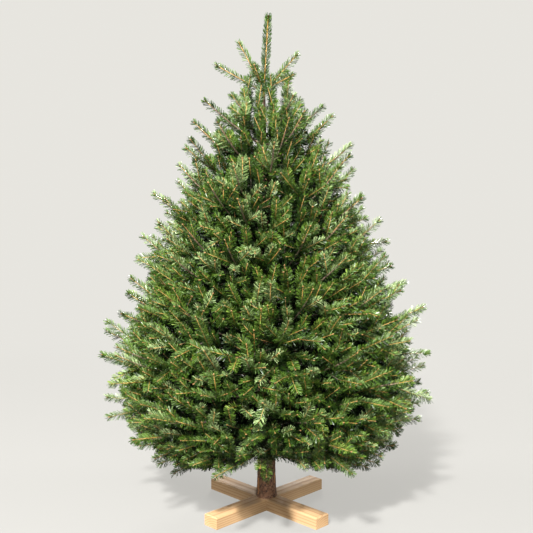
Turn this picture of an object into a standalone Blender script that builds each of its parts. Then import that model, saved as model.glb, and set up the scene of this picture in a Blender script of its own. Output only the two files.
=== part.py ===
"""Cut fir Christmas tree, screwed to a plain half-lapped wooden cross.

Metres, +Z up. The origin is on the flat underside of the cross, under the middle of the trunk.
The trunk stands on the cross. Its boughs leave it in rings, one ring for each year's growth.
Each bough of the three lowest rings carries one mass of foliage at its tip. Higher up the
boughs are green down to the trunk, so there the stem of each mass meets the trunk itself.
"""

import math
import random
from collections import namedtuple

import bmesh
import bpy
from mathutils import Matrix, Vector

SEED = 24
CLEARANCE = 0.0003

# The cross
BEAM_LENGTH = 0.60
BEAM_WIDTH = 0.070
BEAM_THICKNESS = 0.045
BEAM_ANGLES = {"stand_beam_lower": 45.0, "stand_beam_upper": 135.0}
BEAM_EDGE = 0.003
LAP_HEIGHT = BEAM_THICKNESS / 2

# The two coach screws that hold the trunk from below
SCREW_OFFSET = 0.018
SCREW_RADIUS = 0.004
SCREW_BITE = 0.055
HEAD_RADIUS = 0.0075
HEAD_HEIGHT = 0.0055
RECESS_RADIUS = 0.011
RECESS_DEPTH = 0.009

# The trunk, with heights above the saw cut
CUT_Z = BEAM_THICKNESS + CLEARANCE
TREE_HEIGHT = 1.90
TOP_NODE = 1.60
FLARE_HEIGHT = 0.10
FLARE = 0.003
TRUNK_RADIUS = 0.0392
TOP_NODE_RADIUS = 0.0070
TRUNK_SWEEP = -0.011
LEADER_SWEEP = 0.018
TRUNK_SIDES = 12

# One ring of boughs: height of its root, how many, turn of the first, reach of the tips,
# lift of the tips over the root, slope at the tip, years of growth, share that is bare
Ring = namedtuple("Ring", "height count turn reach lift slope years bare")
RINGS = (
    Ring(0.180, 5, 54.0, 0.480, 0.072, -8.0, 4, 0.40),
    Ring(0.305, 5, 8.0, 0.620, 0.050, 2.0, 4, 0.38),
    Ring(0.440, 5, 34.0, 0.645, 0.125, 18.0, 4, 0.38),
    Ring(0.600, 5, 60.0, 0.590, 0.180, 28.0, 4, 0.13),
    Ring(0.772, 5, 14.0, 0.500, 0.222, 36.0, 4, 0.13),
    Ring(0.973, 5, 40.0, 0.415, 0.230, 41.0, 3, 0.13),
    Ring(1.187, 4, 5.0, 0.320, 0.210, 43.0, 3, 0.13),
    Ring(1.400, 4, 22.0, 0.250, 0.165, 40.0, 2, 0.13),
)
BOUGHED_RINGS = 3
LENGTH_SPREAD = 0.05
BOUGH_RADIUS = 0.0095
BOUGH_TIP_RADIUS = 0.0050
STEM_RADIUS = 0.0042
STEM_TIP_RADIUS = 0.0028

LEADER_RADIUS = 0.0062
LEADER_SLIM = 0.55

# The ring of shoots round the foot of the leader: turn, slope, length
TOP_SHOOTS = (
    (184.0, 62.0, 0.200),
    (194.0, 27.0, 0.205),
    (-8.0, 42.0, 0.170),
    (44.0, 34.0, 0.150),
    (112.0, 44.0, 0.160),
    (312.0, 14.0, 0.165),
    (250.0, 40.0, 0.130),
)

# The crown's outline: height above the cut and radius there
CROWN = (
    (0.08, 0.25),
    (0.14, 0.37),
    (0.24, 0.52),
    (0.36, 0.625),
    (0.48, 0.655),
    (0.66, 0.615),
    (0.82, 0.560),
    (1.15, 0.430),
    (1.49, 0.290),
    (1.74, 0.150),
    (1.90, 0.020),
)

# How a bough branches
FORK_ANGLE = 46.0
SIDE_LONGEST = 0.34
SIDE_SHORTEST = 0.07
UPRIGHT_ANGLE = 38.0
UPRIGHT_LONGEST = 0.19

# A spray of needles: a toothed blade, thick in the middle and thin at its rim
RIM_SIDE = ((0.46, 1.00), (0.52, 0.42), (0.84, 0.62))
BLADE_WIDTH = 0.27
BLADE_WIDEST = 0.060
BLADE_THICKNESS = 0.0095
BLADE_MIDDLE = 0.40
BLADE_ROLL = 28.0
ROOT_SUNK = 0.014

# The dense inner part of each mass
HEART_FROM = 0.04
HEART_TO = 0.76
HEART_WIDTH = 0.80
HEART_THICKNESS = 0.74
HEART_THINNEST = 0.03
HEART_DEPTH_BELOW = 0.055

SPACE_GAP = 0.004
LOWEST_FOLIAGE = 0.085


def material(name, colour, roughness):
    """A Principled material for one finish."""
    made = bpy.data.materials.new(name)
    made.use_nodes = True
    shader = made.node_tree.nodes["Principled BSDF"]
    shader.inputs["Base Color"].default_value = (*colour, 1.0)
    shader.inputs["Roughness"].default_value = roughness
    return made


def collection(name):
    """A collection linked to the scene."""
    made = bpy.data.collections.new(name)
    bpy.context.scene.collection.children.link(made)
    return made


def add_object(name, mesh, where, finish=None):
    """An object with this mesh in a collection."""
    made = bpy.data.objects.new(name, mesh)
    where.objects.link(made)
    if finish is not None:
        mesh.materials.clear()
        mesh.materials.append(finish)
    return made


def mesh_from(bm, name):
    """The mesh of a bmesh, its faces turned outwards. The bmesh is freed."""
    mesh = bpy.data.meshes.new(name)
    bmesh.ops.recalc_face_normals(bm, faces=bm.faces)
    if bm.calc_volume(signed=True) < 0:
        bmesh.ops.reverse_faces(bm, faces=bm.faces)
    bm.to_mesh(mesh)
    bm.free()
    return mesh


def baked(obj):
    """Applies an object's modifiers, or makes a mesh object of a curve and welds its caps."""
    bpy.context.view_layer.update()
    graph = bpy.context.evaluated_depsgraph_get()
    mesh = bpy.data.meshes.new_from_object(obj.evaluated_get(graph))
    if obj.type == "CURVE":
        bm = bmesh.new()
        bm.from_mesh(mesh)
        bmesh.ops.remove_doubles(bm, verts=bm.verts, dist=1e-6)
        bm.to_mesh(mesh)
        bm.free()
    where = obj.users_collection[0]
    name = obj.name
    matrix = obj.matrix_world.copy()
    bpy.data.objects.remove(obj)
    made = add_object(name, mesh, where)
    made.matrix_world = matrix
    return made


def boolean(obj, operation, other, solver="EXACT"):
    """A Boolean modifier against an object or a collection."""
    modifier = obj.modifiers.new(operation.lower(), "BOOLEAN")
    modifier.operation = operation
    modifier.solver = solver
    if isinstance(other, bpy.types.Collection):
        modifier.operand_type = "COLLECTION"
        modifier.collection = other
    else:
        modifier.object = other
    return modifier


def as_cutter(obj):
    """Marks an object as a cutter, which isn't a part."""
    obj.hide_render = True
    obj.display_type = "WIRE"
    return obj


def cylinder(name, radius, bottom, top, where, sides=12, at=(0.0, 0.0)):
    """An upright cylinder between two heights."""
    bm = bmesh.new()
    bmesh.ops.create_cone(
        bm, cap_ends=True, segments=sides, radius1=radius, radius2=radius, depth=top - bottom
    )
    made = add_object(name, mesh_from(bm, name), where)
    made.location = (at[0], at[1], (top + bottom) / 2)
    return made


def tapered_limb(name, points, radii, where, finish, resolution):
    """A limb along points, as a curve whose bevel follows the radii."""
    curve = bpy.data.curves.new(name, "CURVE")
    curve.dimensions = "3D"
    curve.bevel_depth = 1.0
    curve.bevel_resolution = resolution
    curve.use_fill_caps = True
    spline = curve.splines.new("POLY")
    spline.points.add(len(points) - 1)
    for point, place, radius in zip(spline.points, points, radii):
        point.co = (*place, 1.0)
        point.radius = radius
    curve.materials.append(finish)
    made = bpy.data.objects.new(name, curve)
    where.objects.link(made)
    return made


def smooth_step(share):
    """Eases from 0 to 1."""
    share = min(max(share, 0.0), 1.0)
    return share * share * (3 - 2 * share)


def trunk_centre(height):
    """The middle of the trunk at a height above the cut."""
    x = TRUNK_SWEEP * smooth_step((height - FLARE_HEIGHT) / (TOP_NODE - FLARE_HEIGHT))
    x += LEADER_SWEEP * max(0.0, (height - TOP_NODE) / (TREE_HEIGHT - TOP_NODE))
    return Vector((x, 0.0, CUT_Z + height))


def trunk_radius(height):
    """The trunk's radius, with its flare at the foot."""
    radius = TRUNK_RADIUS + (TOP_NODE_RADIUS - TRUNK_RADIUS) * height / TOP_NODE
    return radius + FLARE * max(0.0, 1 - height / FLARE_HEIGHT) ** 2


def trunk_heights():
    """Heights of the trunk's sections: its foot, each ring and its top."""
    return [0.0, 0.03, FLARE_HEIGHT, *[ring.height for ring in RINGS], TOP_NODE]


def trunk_body(name, grow, where, finish):
    """The trunk, or the same shape grown by a clearance as a cutter."""
    heights = trunk_heights()
    points = [trunk_centre(height) for height in heights]
    points[1] = Vector((points[0].x, points[0].y, points[1].z))
    radii = [trunk_radius(height) + grow for height in heights]
    if grow:
        points[0] = points[0] - Vector((0, 0, 0.05))
        points.append(points[-1] + Vector((0, 0, grow)))
        radii.append(radii[-1])
    limb = tapered_limb(name, points, radii, where, finish, (TRUNK_SIDES - 4) // 2)
    return baked(limb)


def crown_radius(height):
    """The crown's radius at a height above the cut."""
    for (low, inner), (high, outer) in zip(CROWN, CROWN[1:]):
        if height <= high:
            share = max(0.0, (height - low) / (high - low))
            return inner + (outer - inner) * share
    return CROWN[-1][1]


def run_to_outline(root, way, longest):
    """How far a shoot runs from its root before it meets the crown's outline."""
    run = 0.0
    while run < longest:
        place = root + way * (run + 0.01)
        if math.hypot(place.x, place.y) > crown_radius(place.z - CUT_Z):
            break
        run += 0.01
    return run


class Bough:
    """The line of one bough, from the trunk's middle to its tip, and the space that is its own."""

    def __init__(self, level, index):
        ring = RINGS[level]
        self.level = level
        self.ring = ring
        self.rng = random.Random(SEED * 1000 + level * 20 + index)
        self.turn = math.radians(ring.turn + index * 360.0 / ring.count)
        self.stretch = 1 + self.rng.uniform(-LENGTH_SPREAD, LENGTH_SPREAD)
        self.outward = Vector((math.cos(self.turn), math.sin(self.turn), 0.0))
        root = trunk_centre(ring.height)
        self.root = root
        slope = math.radians(ring.slope)
        reach = ring.reach * self.stretch
        self.tip = Vector((0, 0, root.z + ring.lift * self.stretch)) + self.outward * reach
        span = (self.tip - self.root).length
        end = self.outward * math.cos(slope) + Vector((0, 0, math.sin(slope)))
        self.bend = self.tip - end * (span * 0.5)
        self.length = span * 1.03

    def point(self, share):
        """The place at a share of the way to the tip."""
        a = self.root.lerp(self.bend, share)
        b = self.bend.lerp(self.tip, share)
        return a.lerp(b, share)

    def direction(self, share):
        """The way that the bough runs at a share of the way to the tip."""
        a = self.root.lerp(self.bend, share)
        b = self.bend.lerp(self.tip, share)
        return (b - a).normalized()


def ring_height_at(level, radius):
    """The height of a ring's boughs at a distance from the trunk, carried on past the tips."""
    if level >= len(RINGS):
        return CUT_Z + TOP_NODE + 0.9 * radius
    ring = RINGS[level]
    slope = math.radians(ring.slope)
    span = math.hypot(ring.reach, ring.lift)
    bend_r = ring.reach - 0.5 * span * math.cos(slope)
    bend_z = ring.lift - 0.5 * span * math.sin(slope)
    base = CUT_Z + ring.height
    if radius >= ring.reach:
        return base + ring.lift + (radius - ring.reach) * math.tan(slope)
    a = ring.reach - 2 * bend_r
    share = radius / (2 * bend_r)
    if abs(a) > 1e-6:
        share = (-bend_r + math.sqrt(bend_r * bend_r + a * radius)) / a
    return base + 2 * share * (1 - share) * bend_z + share * share * ring.lift


def inside_space(bough, place):
    """True where a place is in the bough's own space, between the rings and its neighbours."""
    radius = math.hypot(place.x, place.y)
    height = place.z - CUT_Z
    if radius < trunk_radius(min(max(height, 0.0), TOP_NODE)) + 0.02:
        return False
    off = (math.atan2(place.y, place.x) - bough.turn + math.pi) % (2 * math.pi) - math.pi
    if abs(off) * radius > math.pi / bough.ring.count * radius - SPACE_GAP:
        return False
    here = ring_height_at(bough.level, radius)
    above = ring_height_at(bough.level + 1, radius)
    if place.z > (here + above) / 2 - SPACE_GAP:
        return False
    if bough.level == 0:
        return place.z > LOWEST_FOLIAGE
    return place.z > (here + ring_height_at(bough.level - 1, radius)) / 2 + SPACE_GAP


def frame_along(direction, up):
    """A turn that takes +Z along a direction, with +Y as near to up as it can be."""
    z = direction.normalized()
    x = up.cross(z)
    if x.length < 1e-4:
        x = Vector((1.0, 0.0, 0.0)).cross(z)
    x.normalize()
    y = z.cross(x)
    return Matrix((x, y, z)).transposed().to_4x4()


def spray_mesh(name, length, matrix, roll=0.0):
    """A spray of needles: a ball of two flat cones whose rim runs out and in as teeth."""
    half_width = min(length * BLADE_WIDTH, BLADE_WIDEST)
    right = [(share * length, out * half_width) for share, out in RIM_SIDE]
    left = [(along, -out) for along, out in reversed(right)]
    rim = [(0.0, 0.0), *right, (length, 0.0), *left]
    bm = bmesh.new()
    bmesh.ops.create_uvsphere(bm, u_segments=len(rim), v_segments=2, radius=1.0)
    ring = [v for v in bm.verts if abs(v.co.z) < 0.5]
    ring.sort(key=lambda v: math.atan2(v.co.y, v.co.x))
    for vertex in bm.verts:
        if vertex not in ring:
            up = math.copysign(BLADE_THICKNESS, vertex.co.z)
            vertex.co = Vector((0.0, up, length * BLADE_MIDDLE))
    for vertex, (along, out) in zip(ring, rim):
        vertex.co = Vector((out, 0.0, along))
    turn = matrix @ Matrix.Rotation(roll, 4, "Z")
    bmesh.ops.transform(bm, matrix=turn, verts=bm.verts)
    return mesh_from(bm, name)


def stem_mesh(name, points, radii, first_way):
    """A three-sided stem drawn out along points, its foot square to the first way."""
    bm = bmesh.new()
    bmesh.ops.create_circle(bm, cap_ends=True, segments=3, radius=1.0)
    base = [v.co.copy() for v in bm.verts]
    face = bm.faces[:][0]
    for step, (place, radius) in enumerate(zip(points, radii)):
        if step:
            grown = bmesh.ops.extrude_face_region(bm, geom=[face])["geom"]
            if step > 1:
                bm.faces.remove(face)
            face = next(g for g in grown if isinstance(g, bmesh.types.BMFace))
        ahead = points[min(step + 1, len(points) - 1)] - points[max(step - 1, 0)]
        if step == 0:
            ahead = first_way
        turn = frame_along(ahead, Vector((0, 0, 1)))
        for vertex, corner in zip(face.verts, base):
            vertex.co = place + turn @ (corner * radius)
    return mesh_from(bm, name)


def heart_mesh(bough):
    """The dense inner part of a mass, a rounded lump that follows the shape of its space."""
    level, ring = bough.level, bough.ring
    bm = bmesh.new()
    bmesh.ops.create_icosphere(bm, subdivisions=1, radius=1.0)
    for vertex in bm.verts:
        side, rise, along = vertex.co / max(abs(part) for part in vertex.co)
        share = HEART_FROM + (HEART_TO - HEART_FROM) * (along + 1) / 2
        place = bough.point(ring.bare + (1 - ring.bare) * share)
        radius = math.hypot(place.x, place.y)
        off = side * math.pi / ring.count * HEART_WIDTH
        inner = radius * math.cos(off)
        here = ring_height_at(level, radius)
        bottom = here - HEART_DEPTH_BELOW
        if level:
            bottom = (here + ring_height_at(level - 1, radius)) / 2
        top = (ring_height_at(level, inner) + ring_height_at(level + 1, inner)) / 2
        top = max(top, bottom + HEART_THINNEST)
        height = (top + bottom) / 2 + rise * HEART_THICKNESS * (top - bottom) / 2
        turn = bough.turn + off
        vertex.co = (radius * math.cos(turn), radius * math.sin(turn), height)
    return mesh_from(bm, "heart")


def shoots_of(bough):
    """(root, direction, length) of each spray on a bough's mass, by the branching rule."""
    ring, rng = bough.ring, bough.rng
    up = Vector((0, 0, 1))
    found = []
    for year in range(ring.years):
        start, end = year / ring.years, (year + 1) / ring.years
        if end <= ring.bare + 0.02:
            continue
        start = max(start, ring.bare + 0.04)
        run = bough.point(end) - bough.point(start)
        if year >= ring.years - 2:
            found.append((bough.point(start), run.normalized(), run.length))
        if end > 0.99 or (year == 0 and ring.years > 2):
            continue
        node = bough.point(end)
        ahead = bough.direction(end)
        across = ahead.cross(up).normalized()
        normal = across.cross(ahead).normalized()
        for side in (-1, 1):
            fork = math.radians(FORK_ANGLE + rng.uniform(-5, 5))
            lift = math.radians(rng.uniform(-8, 14))
            way = ahead * math.cos(fork) + across * (side * math.sin(fork))
            way = (way * math.cos(lift) + normal * math.sin(lift)).normalized()
            reach = run_to_outline(node, way, SIDE_LONGEST) * rng.uniform(0.93, 1.0)
            found.append((node, way, max(reach, SIDE_SHORTEST)))
        for side in (-1, 1):
            rise = math.radians(UPRIGHT_ANGLE + rng.uniform(-6, 6)) * side
            sway = across * rng.uniform(-0.5, 0.5)
            way = (ahead * math.cos(rise) + normal * math.sin(rise) + sway).normalized()
            reach = run_to_outline(node, way, UPRIGHT_LONGEST) * rng.uniform(0.93, 1.0)
            found.append((node, way, max(reach, SIDE_SHORTEST)))
    return found


def fuse(carrier, extra, solver):
    """Joins a collection's solids to the carrier, applies the join and removes them."""
    boolean(carrier, "UNION", extra, solver)
    made = baked(carrier)
    for obj in list(extra.objects):
        bpy.data.objects.remove(obj)
    return made


def largest_piece(obj):
    """Drops loose scraps from an object's mesh."""
    bm = bmesh.new()
    bm.from_mesh(obj.data)
    bm.verts.ensure_lookup_table()
    unseen = set(bm.verts)
    islands = []
    while unseen:
        front = [unseen.pop()]
        island = set(front)
        while front:
            for edge in front.pop().link_edges:
                for vertex in edge.verts:
                    if vertex in unseen:
                        unseen.remove(vertex)
                        island.add(vertex)
                        front.append(vertex)
        islands.append(island)
    islands.sort(key=len, reverse=True)
    scraps = [v for island in islands[1:] for v in island]
    bmesh.ops.delete(bm, geom=scraps, context="VERTS")
    bm.to_mesh(obj.data)
    bm.free()
    return obj


def limb_points(bough):
    """Points along the bare part of a bough, from the trunk's middle to the bough's end."""
    steps = 4
    return [bough.point(bough.ring.bare * step / steps) for step in range(steps + 1)]


def foliage(name, bough, where, work, finish, trunk_cutter):
    """One mass of foliage: a stem, its dense heart and the sprays, fused into one solid."""
    ring = bough.ring
    boughed = bough.level < BOUGHED_RINGS
    first = ring.bare if boughed else 0.0
    shares = [first + (0.94 - first) * step / 3 for step in range(4)]
    points = [bough.point(share) for share in shares]
    first_way = bough.direction(first)
    if boughed:
        first_way = limb_points(bough)[-1] - limb_points(bough)[-2]
        points[0] += first_way.normalized() * CLEARANCE
    radii = [STEM_RADIUS + (STEM_TIP_RADIUS - STEM_RADIUS) * step / 3 for step in range(4)]
    carrier = add_object(name, stem_mesh(name, points, radii, first_way), where)
    add_object("heart", heart_mesh(bough), work)
    for root, way, length in shoots_of(bough):
        roll = math.radians(bough.rng.uniform(-BLADE_ROLL, BLADE_ROLL))
        for shorter in (1.0, 0.82, 0.66):
            sunk = root - way * ROOT_SUNK
            matrix = Matrix.Translation(sunk) @ frame_along(way, Vector((0, 0, 1)))
            mesh = spray_mesh("spray", length * shorter + ROOT_SUNK, matrix, roll)
            if all(inside_space(bough, v.co) for v in mesh.vertices if (v.co - root).length > 0.03):
                add_object("spray", mesh, work)
                break
            bpy.data.meshes.remove(mesh)
    made = fuse(carrier, work, "MANIFOLD")
    if not boughed:
        boolean(made, "DIFFERENCE", trunk_cutter, "MANIFOLD")
        made = baked(made)
    largest_piece(made)
    made.data.materials.clear()
    made.data.materials.append(finish)
    return made


def leader(where, work, finish):
    """The leader, this year's upright shoot, with the ring of shoots at its foot."""
    foot = trunk_centre(TOP_NODE) + Vector((0, 0, CLEARANCE))
    tip = trunk_centre(TREE_HEIGHT)
    points = [foot, foot + Vector((0, 0, 0.03)), foot.lerp(tip, 0.85)]
    radii = [LEADER_RADIUS, LEADER_RADIUS * 0.9, LEADER_RADIUS * 0.55]
    stem = stem_mesh("leader", points, radii, Vector((0, 0, 1)))
    carrier = add_object("leader", stem, where)
    spire = tip - points[1]
    for quarter, share in ((0.0, 1.0), (math.pi / 2, 0.93)):
        matrix = Matrix.Translation(points[1]) @ frame_along(spire, Vector((0, 1, 0)))
        mesh = spray_mesh("spray", spire.length * share, matrix, quarter)
        slim = matrix @ Matrix.Diagonal((LEADER_SLIM, LEADER_SLIM, 1.0, 1.0)) @ matrix.inverted()
        mesh.transform(slim)
        add_object("spray", mesh, work)
    for step, (turn, slope, length) in enumerate(TOP_SHOOTS):
        a, s = math.radians(turn), math.radians(slope)
        way = Vector((math.cos(a) * math.cos(s), math.sin(a) * math.cos(s), math.sin(s)))
        root = foot + Vector((0, 0, 0.016 + 0.005 * step)) - way * 0.006
        matrix = Matrix.Translation(root) @ frame_along(way, Vector((0, 0, 1)))
        add_object("spray", spray_mesh("spray", length, matrix), work)
    made = largest_piece(fuse(carrier, work, "MANIFOLD"))
    made.data.materials.clear()
    made.data.materials.append(finish)
    return made


def beam(name, angle, keeps_bottom, where, cutters, finish):
    """One beam of the cross, with its half of the lap cut away."""
    bm = bmesh.new()
    bmesh.ops.create_cube(bm, size=1.0)
    bmesh.ops.scale(bm, verts=bm.verts, vec=(BEAM_LENGTH, BEAM_WIDTH, BEAM_THICKNESS))
    bmesh.ops.translate(bm, verts=bm.verts, vec=(0, 0, BEAM_THICKNESS / 2))
    top_edges = [e for e in bm.edges if all(v.co.z > BEAM_THICKNESS / 2 for v in e.verts)]
    bmesh.ops.bevel(bm, geom=top_edges, offset=BEAM_EDGE, segments=1, affect="EDGES")
    made = add_object(name, mesh_from(bm, name), where, finish)
    made.rotation_euler = (0, 0, math.radians(angle))
    bm = bmesh.new()
    bmesh.ops.create_cube(bm, size=1.0)
    wide = BEAM_WIDTH + 2 * CLEARANCE
    bmesh.ops.scale(bm, verts=bm.verts, vec=(wide, BEAM_WIDTH * 1.5, BEAM_THICKNESS))
    lap = as_cutter(add_object(name + "_lap", mesh_from(bm, "lap"), cutters))
    middle = LAP_HEIGHT + BEAM_THICKNESS / 2 - CLEARANCE / 2
    if not keeps_bottom:
        middle = LAP_HEIGHT - BEAM_THICKNESS / 2 + CLEARANCE / 2
    lap.location = (0, 0, middle)
    lap.rotation_euler = (0, 0, math.radians(angle))
    boolean(made, "DIFFERENCE", lap)
    return made


def screw(name, x, where, finish):
    """A coach screw with a six-sided head, its shank and its point."""
    head_top = RECESS_DEPTH - CLEARANCE
    reach = CUT_Z + SCREW_BITE
    made = cylinder(name, HEAD_RADIUS, head_top - HEAD_HEIGHT, head_top, where, 6, (x, 0.0))
    bm = bmesh.new()
    bmesh.ops.create_cone(
        bm,
        cap_ends=True,
        segments=10,
        radius1=SCREW_RADIUS,
        radius2=SCREW_RADIUS,
        depth=reach - head_top + 0.002,
    )
    bm.faces.ensure_lookup_table()
    point = max(bm.faces, key=lambda face: face.calc_center_median().z)
    grown = bmesh.ops.extrude_face_region(bm, geom=[point])["geom"]
    bm.faces.remove(point)
    tip = [g for g in grown if isinstance(g, bmesh.types.BMVert)]
    bmesh.ops.translate(bm, verts=tip, vec=(0, 0, 0.006))
    bmesh.ops.scale(bm, verts=tip, vec=(0.25, 0.25, 1.0))
    shank = add_object(name + "_shank", mesh_from(bm, "shank"), where)
    shank.location = (x, 0.0, (head_top - 0.002 + reach) / 2)
    boolean(made, "UNION", shank)
    made = baked(made)
    bpy.data.objects.remove(shank)
    made.data.materials.clear()
    made.data.materials.append(finish)
    return made


def bore_for_screws(objects, cutters):
    """Cuts the screws' holes and their heads' recesses, with a running clearance."""
    for side, x in (("left", -SCREW_OFFSET), ("right", SCREW_OFFSET)):
        top = CUT_Z + SCREW_BITE + 0.008
        hole = cylinder(
            f"hole_{side}", SCREW_RADIUS + CLEARANCE * 1.2, -0.01, top, cutters, 10, (x, 0.0)
        )
        recess = cylinder(
            f"recess_{side}", RECESS_RADIUS, -0.01, RECESS_DEPTH, cutters, 12, (x, 0.0)
        )
        for cutter in (as_cutter(hole), as_cutter(recess)):
            for obj in objects:
                if cutter is recess and obj.name != "stand_beam_lower":
                    continue
                boolean(obj, "DIFFERENCE", cutter)


def main():
    for obj in list(bpy.data.objects):
        bpy.data.objects.remove(obj)
    tree = collection("christmas_tree")
    cutters = collection("cutters")
    work = collection("work")
    bark = material("bark", (0.105, 0.066, 0.045), 0.9)
    twig = material("bough_bark", (0.17, 0.115, 0.075), 0.85)
    needles = material("needles", (0.075, 0.150, 0.060), 0.55)
    timber = material("timber", (0.62, 0.47, 0.30), 0.7)
    steel = material("steel", (0.55, 0.55, 0.54), 0.35)
    steel.node_tree.nodes["Principled BSDF"].inputs["Metallic"].default_value = 1.0

    trunk = trunk_body("trunk", 0.0, tree, bark)
    trunk_cutter = as_cutter(trunk_body("trunk_cutter", CLEARANCE * 1.2, cutters, bark))
    beams = [
        beam(name, angle, name == "stand_beam_lower", tree, cutters, timber)
        for name, angle in BEAM_ANGLES.items()
    ]
    bore_for_screws([trunk, *beams], cutters)
    for side, x in (("left", -SCREW_OFFSET), ("right", SCREW_OFFSET)):
        screw(f"stand_screw_{side}", x, tree, steel)

    for level, ring in enumerate(RINGS):
        for index in range(ring.count):
            bough = Bough(level, index)
            label = f"{level + 1}_{index + 1}"
            if level < BOUGHED_RINGS:
                points = limb_points(bough)
                thinner = (BOUGH_RADIUS - BOUGH_TIP_RADIUS) / (len(points) - 1)
                radii = [BOUGH_RADIUS - thinner * step for step in range(len(points))]
                limb = baked(tapered_limb(f"bough_{label}", points, radii, tree, twig, 1))
                boolean(limb, "DIFFERENCE", trunk_cutter, "MANIFOLD")
            foliage(f"foliage_{label}", bough, tree, work, needles, trunk_cutter)
    leader(tree, work, needles)


main()
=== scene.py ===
"""A cut fir on a plain wooden cross, with its bark, boughs, twigs, buds and needles.

Sizes are in metres, and the origin is at the foot of the cross.
"""

import logging
import math
import random
from collections.abc import Iterator, Sequence
from dataclasses import dataclass, field
from enum import Enum
from itertools import product

import bmesh
import bpy
import numpy as np
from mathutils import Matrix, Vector, noise
from mathutils.kdtree import KDTree


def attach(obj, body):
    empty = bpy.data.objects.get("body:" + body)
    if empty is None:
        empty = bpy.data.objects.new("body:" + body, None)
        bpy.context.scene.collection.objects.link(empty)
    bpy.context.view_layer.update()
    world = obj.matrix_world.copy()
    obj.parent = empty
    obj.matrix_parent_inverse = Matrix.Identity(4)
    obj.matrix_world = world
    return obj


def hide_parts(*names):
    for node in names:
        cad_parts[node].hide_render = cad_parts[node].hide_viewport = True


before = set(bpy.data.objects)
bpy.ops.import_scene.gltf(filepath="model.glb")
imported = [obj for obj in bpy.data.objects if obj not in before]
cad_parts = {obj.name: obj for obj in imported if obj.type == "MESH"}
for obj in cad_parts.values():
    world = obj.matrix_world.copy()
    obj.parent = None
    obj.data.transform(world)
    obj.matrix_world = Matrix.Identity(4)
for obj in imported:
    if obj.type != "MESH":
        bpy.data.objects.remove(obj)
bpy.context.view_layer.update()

log = logging.getLogger("fir")

SEED = 24
UP = Vector((0.0, 0.0, 1.0))
CUT_Z = 0.0453
TREE_HEIGHT = 1.90
TOP_NODE = 1.60
WHITE = (1.0, 1.0, 1.0)
GOLDEN_TURN = 137.5
MOST_CORNERS = 1_000_000

Colour = tuple[float, float, float]
Table = tuple[tuple[float, float], ...]
Socket = bpy.types.NodeSocket
Feed = Socket | Colour | float


class Tone(Enum):
    """The greens that needles are dealt, shoot by shoot: SHADE and the darkest green are painted
    shade, DEEP is a real deeper green that also serves as painted shade, and the frosted green is
    a real frosted green that also serves as a painted highlight.
    """

    FROSTED_AND_HIGHLIGHT = 0
    SAGE = 1
    MID = 2
    DEEP = 3
    FRESH = 4
    YELLOW = 5
    SHADE = 6
    DEEP_SHADE = 7


class TwigTone(Enum):
    """The colours of a twig by its age; the second-year and old colours also serve as painted
    shade on covered twigs.
    """

    NEW = 0
    SECOND_AND_HALF_SHADE = 1
    OLD_AND_DEEP_SHADE = 2


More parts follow.
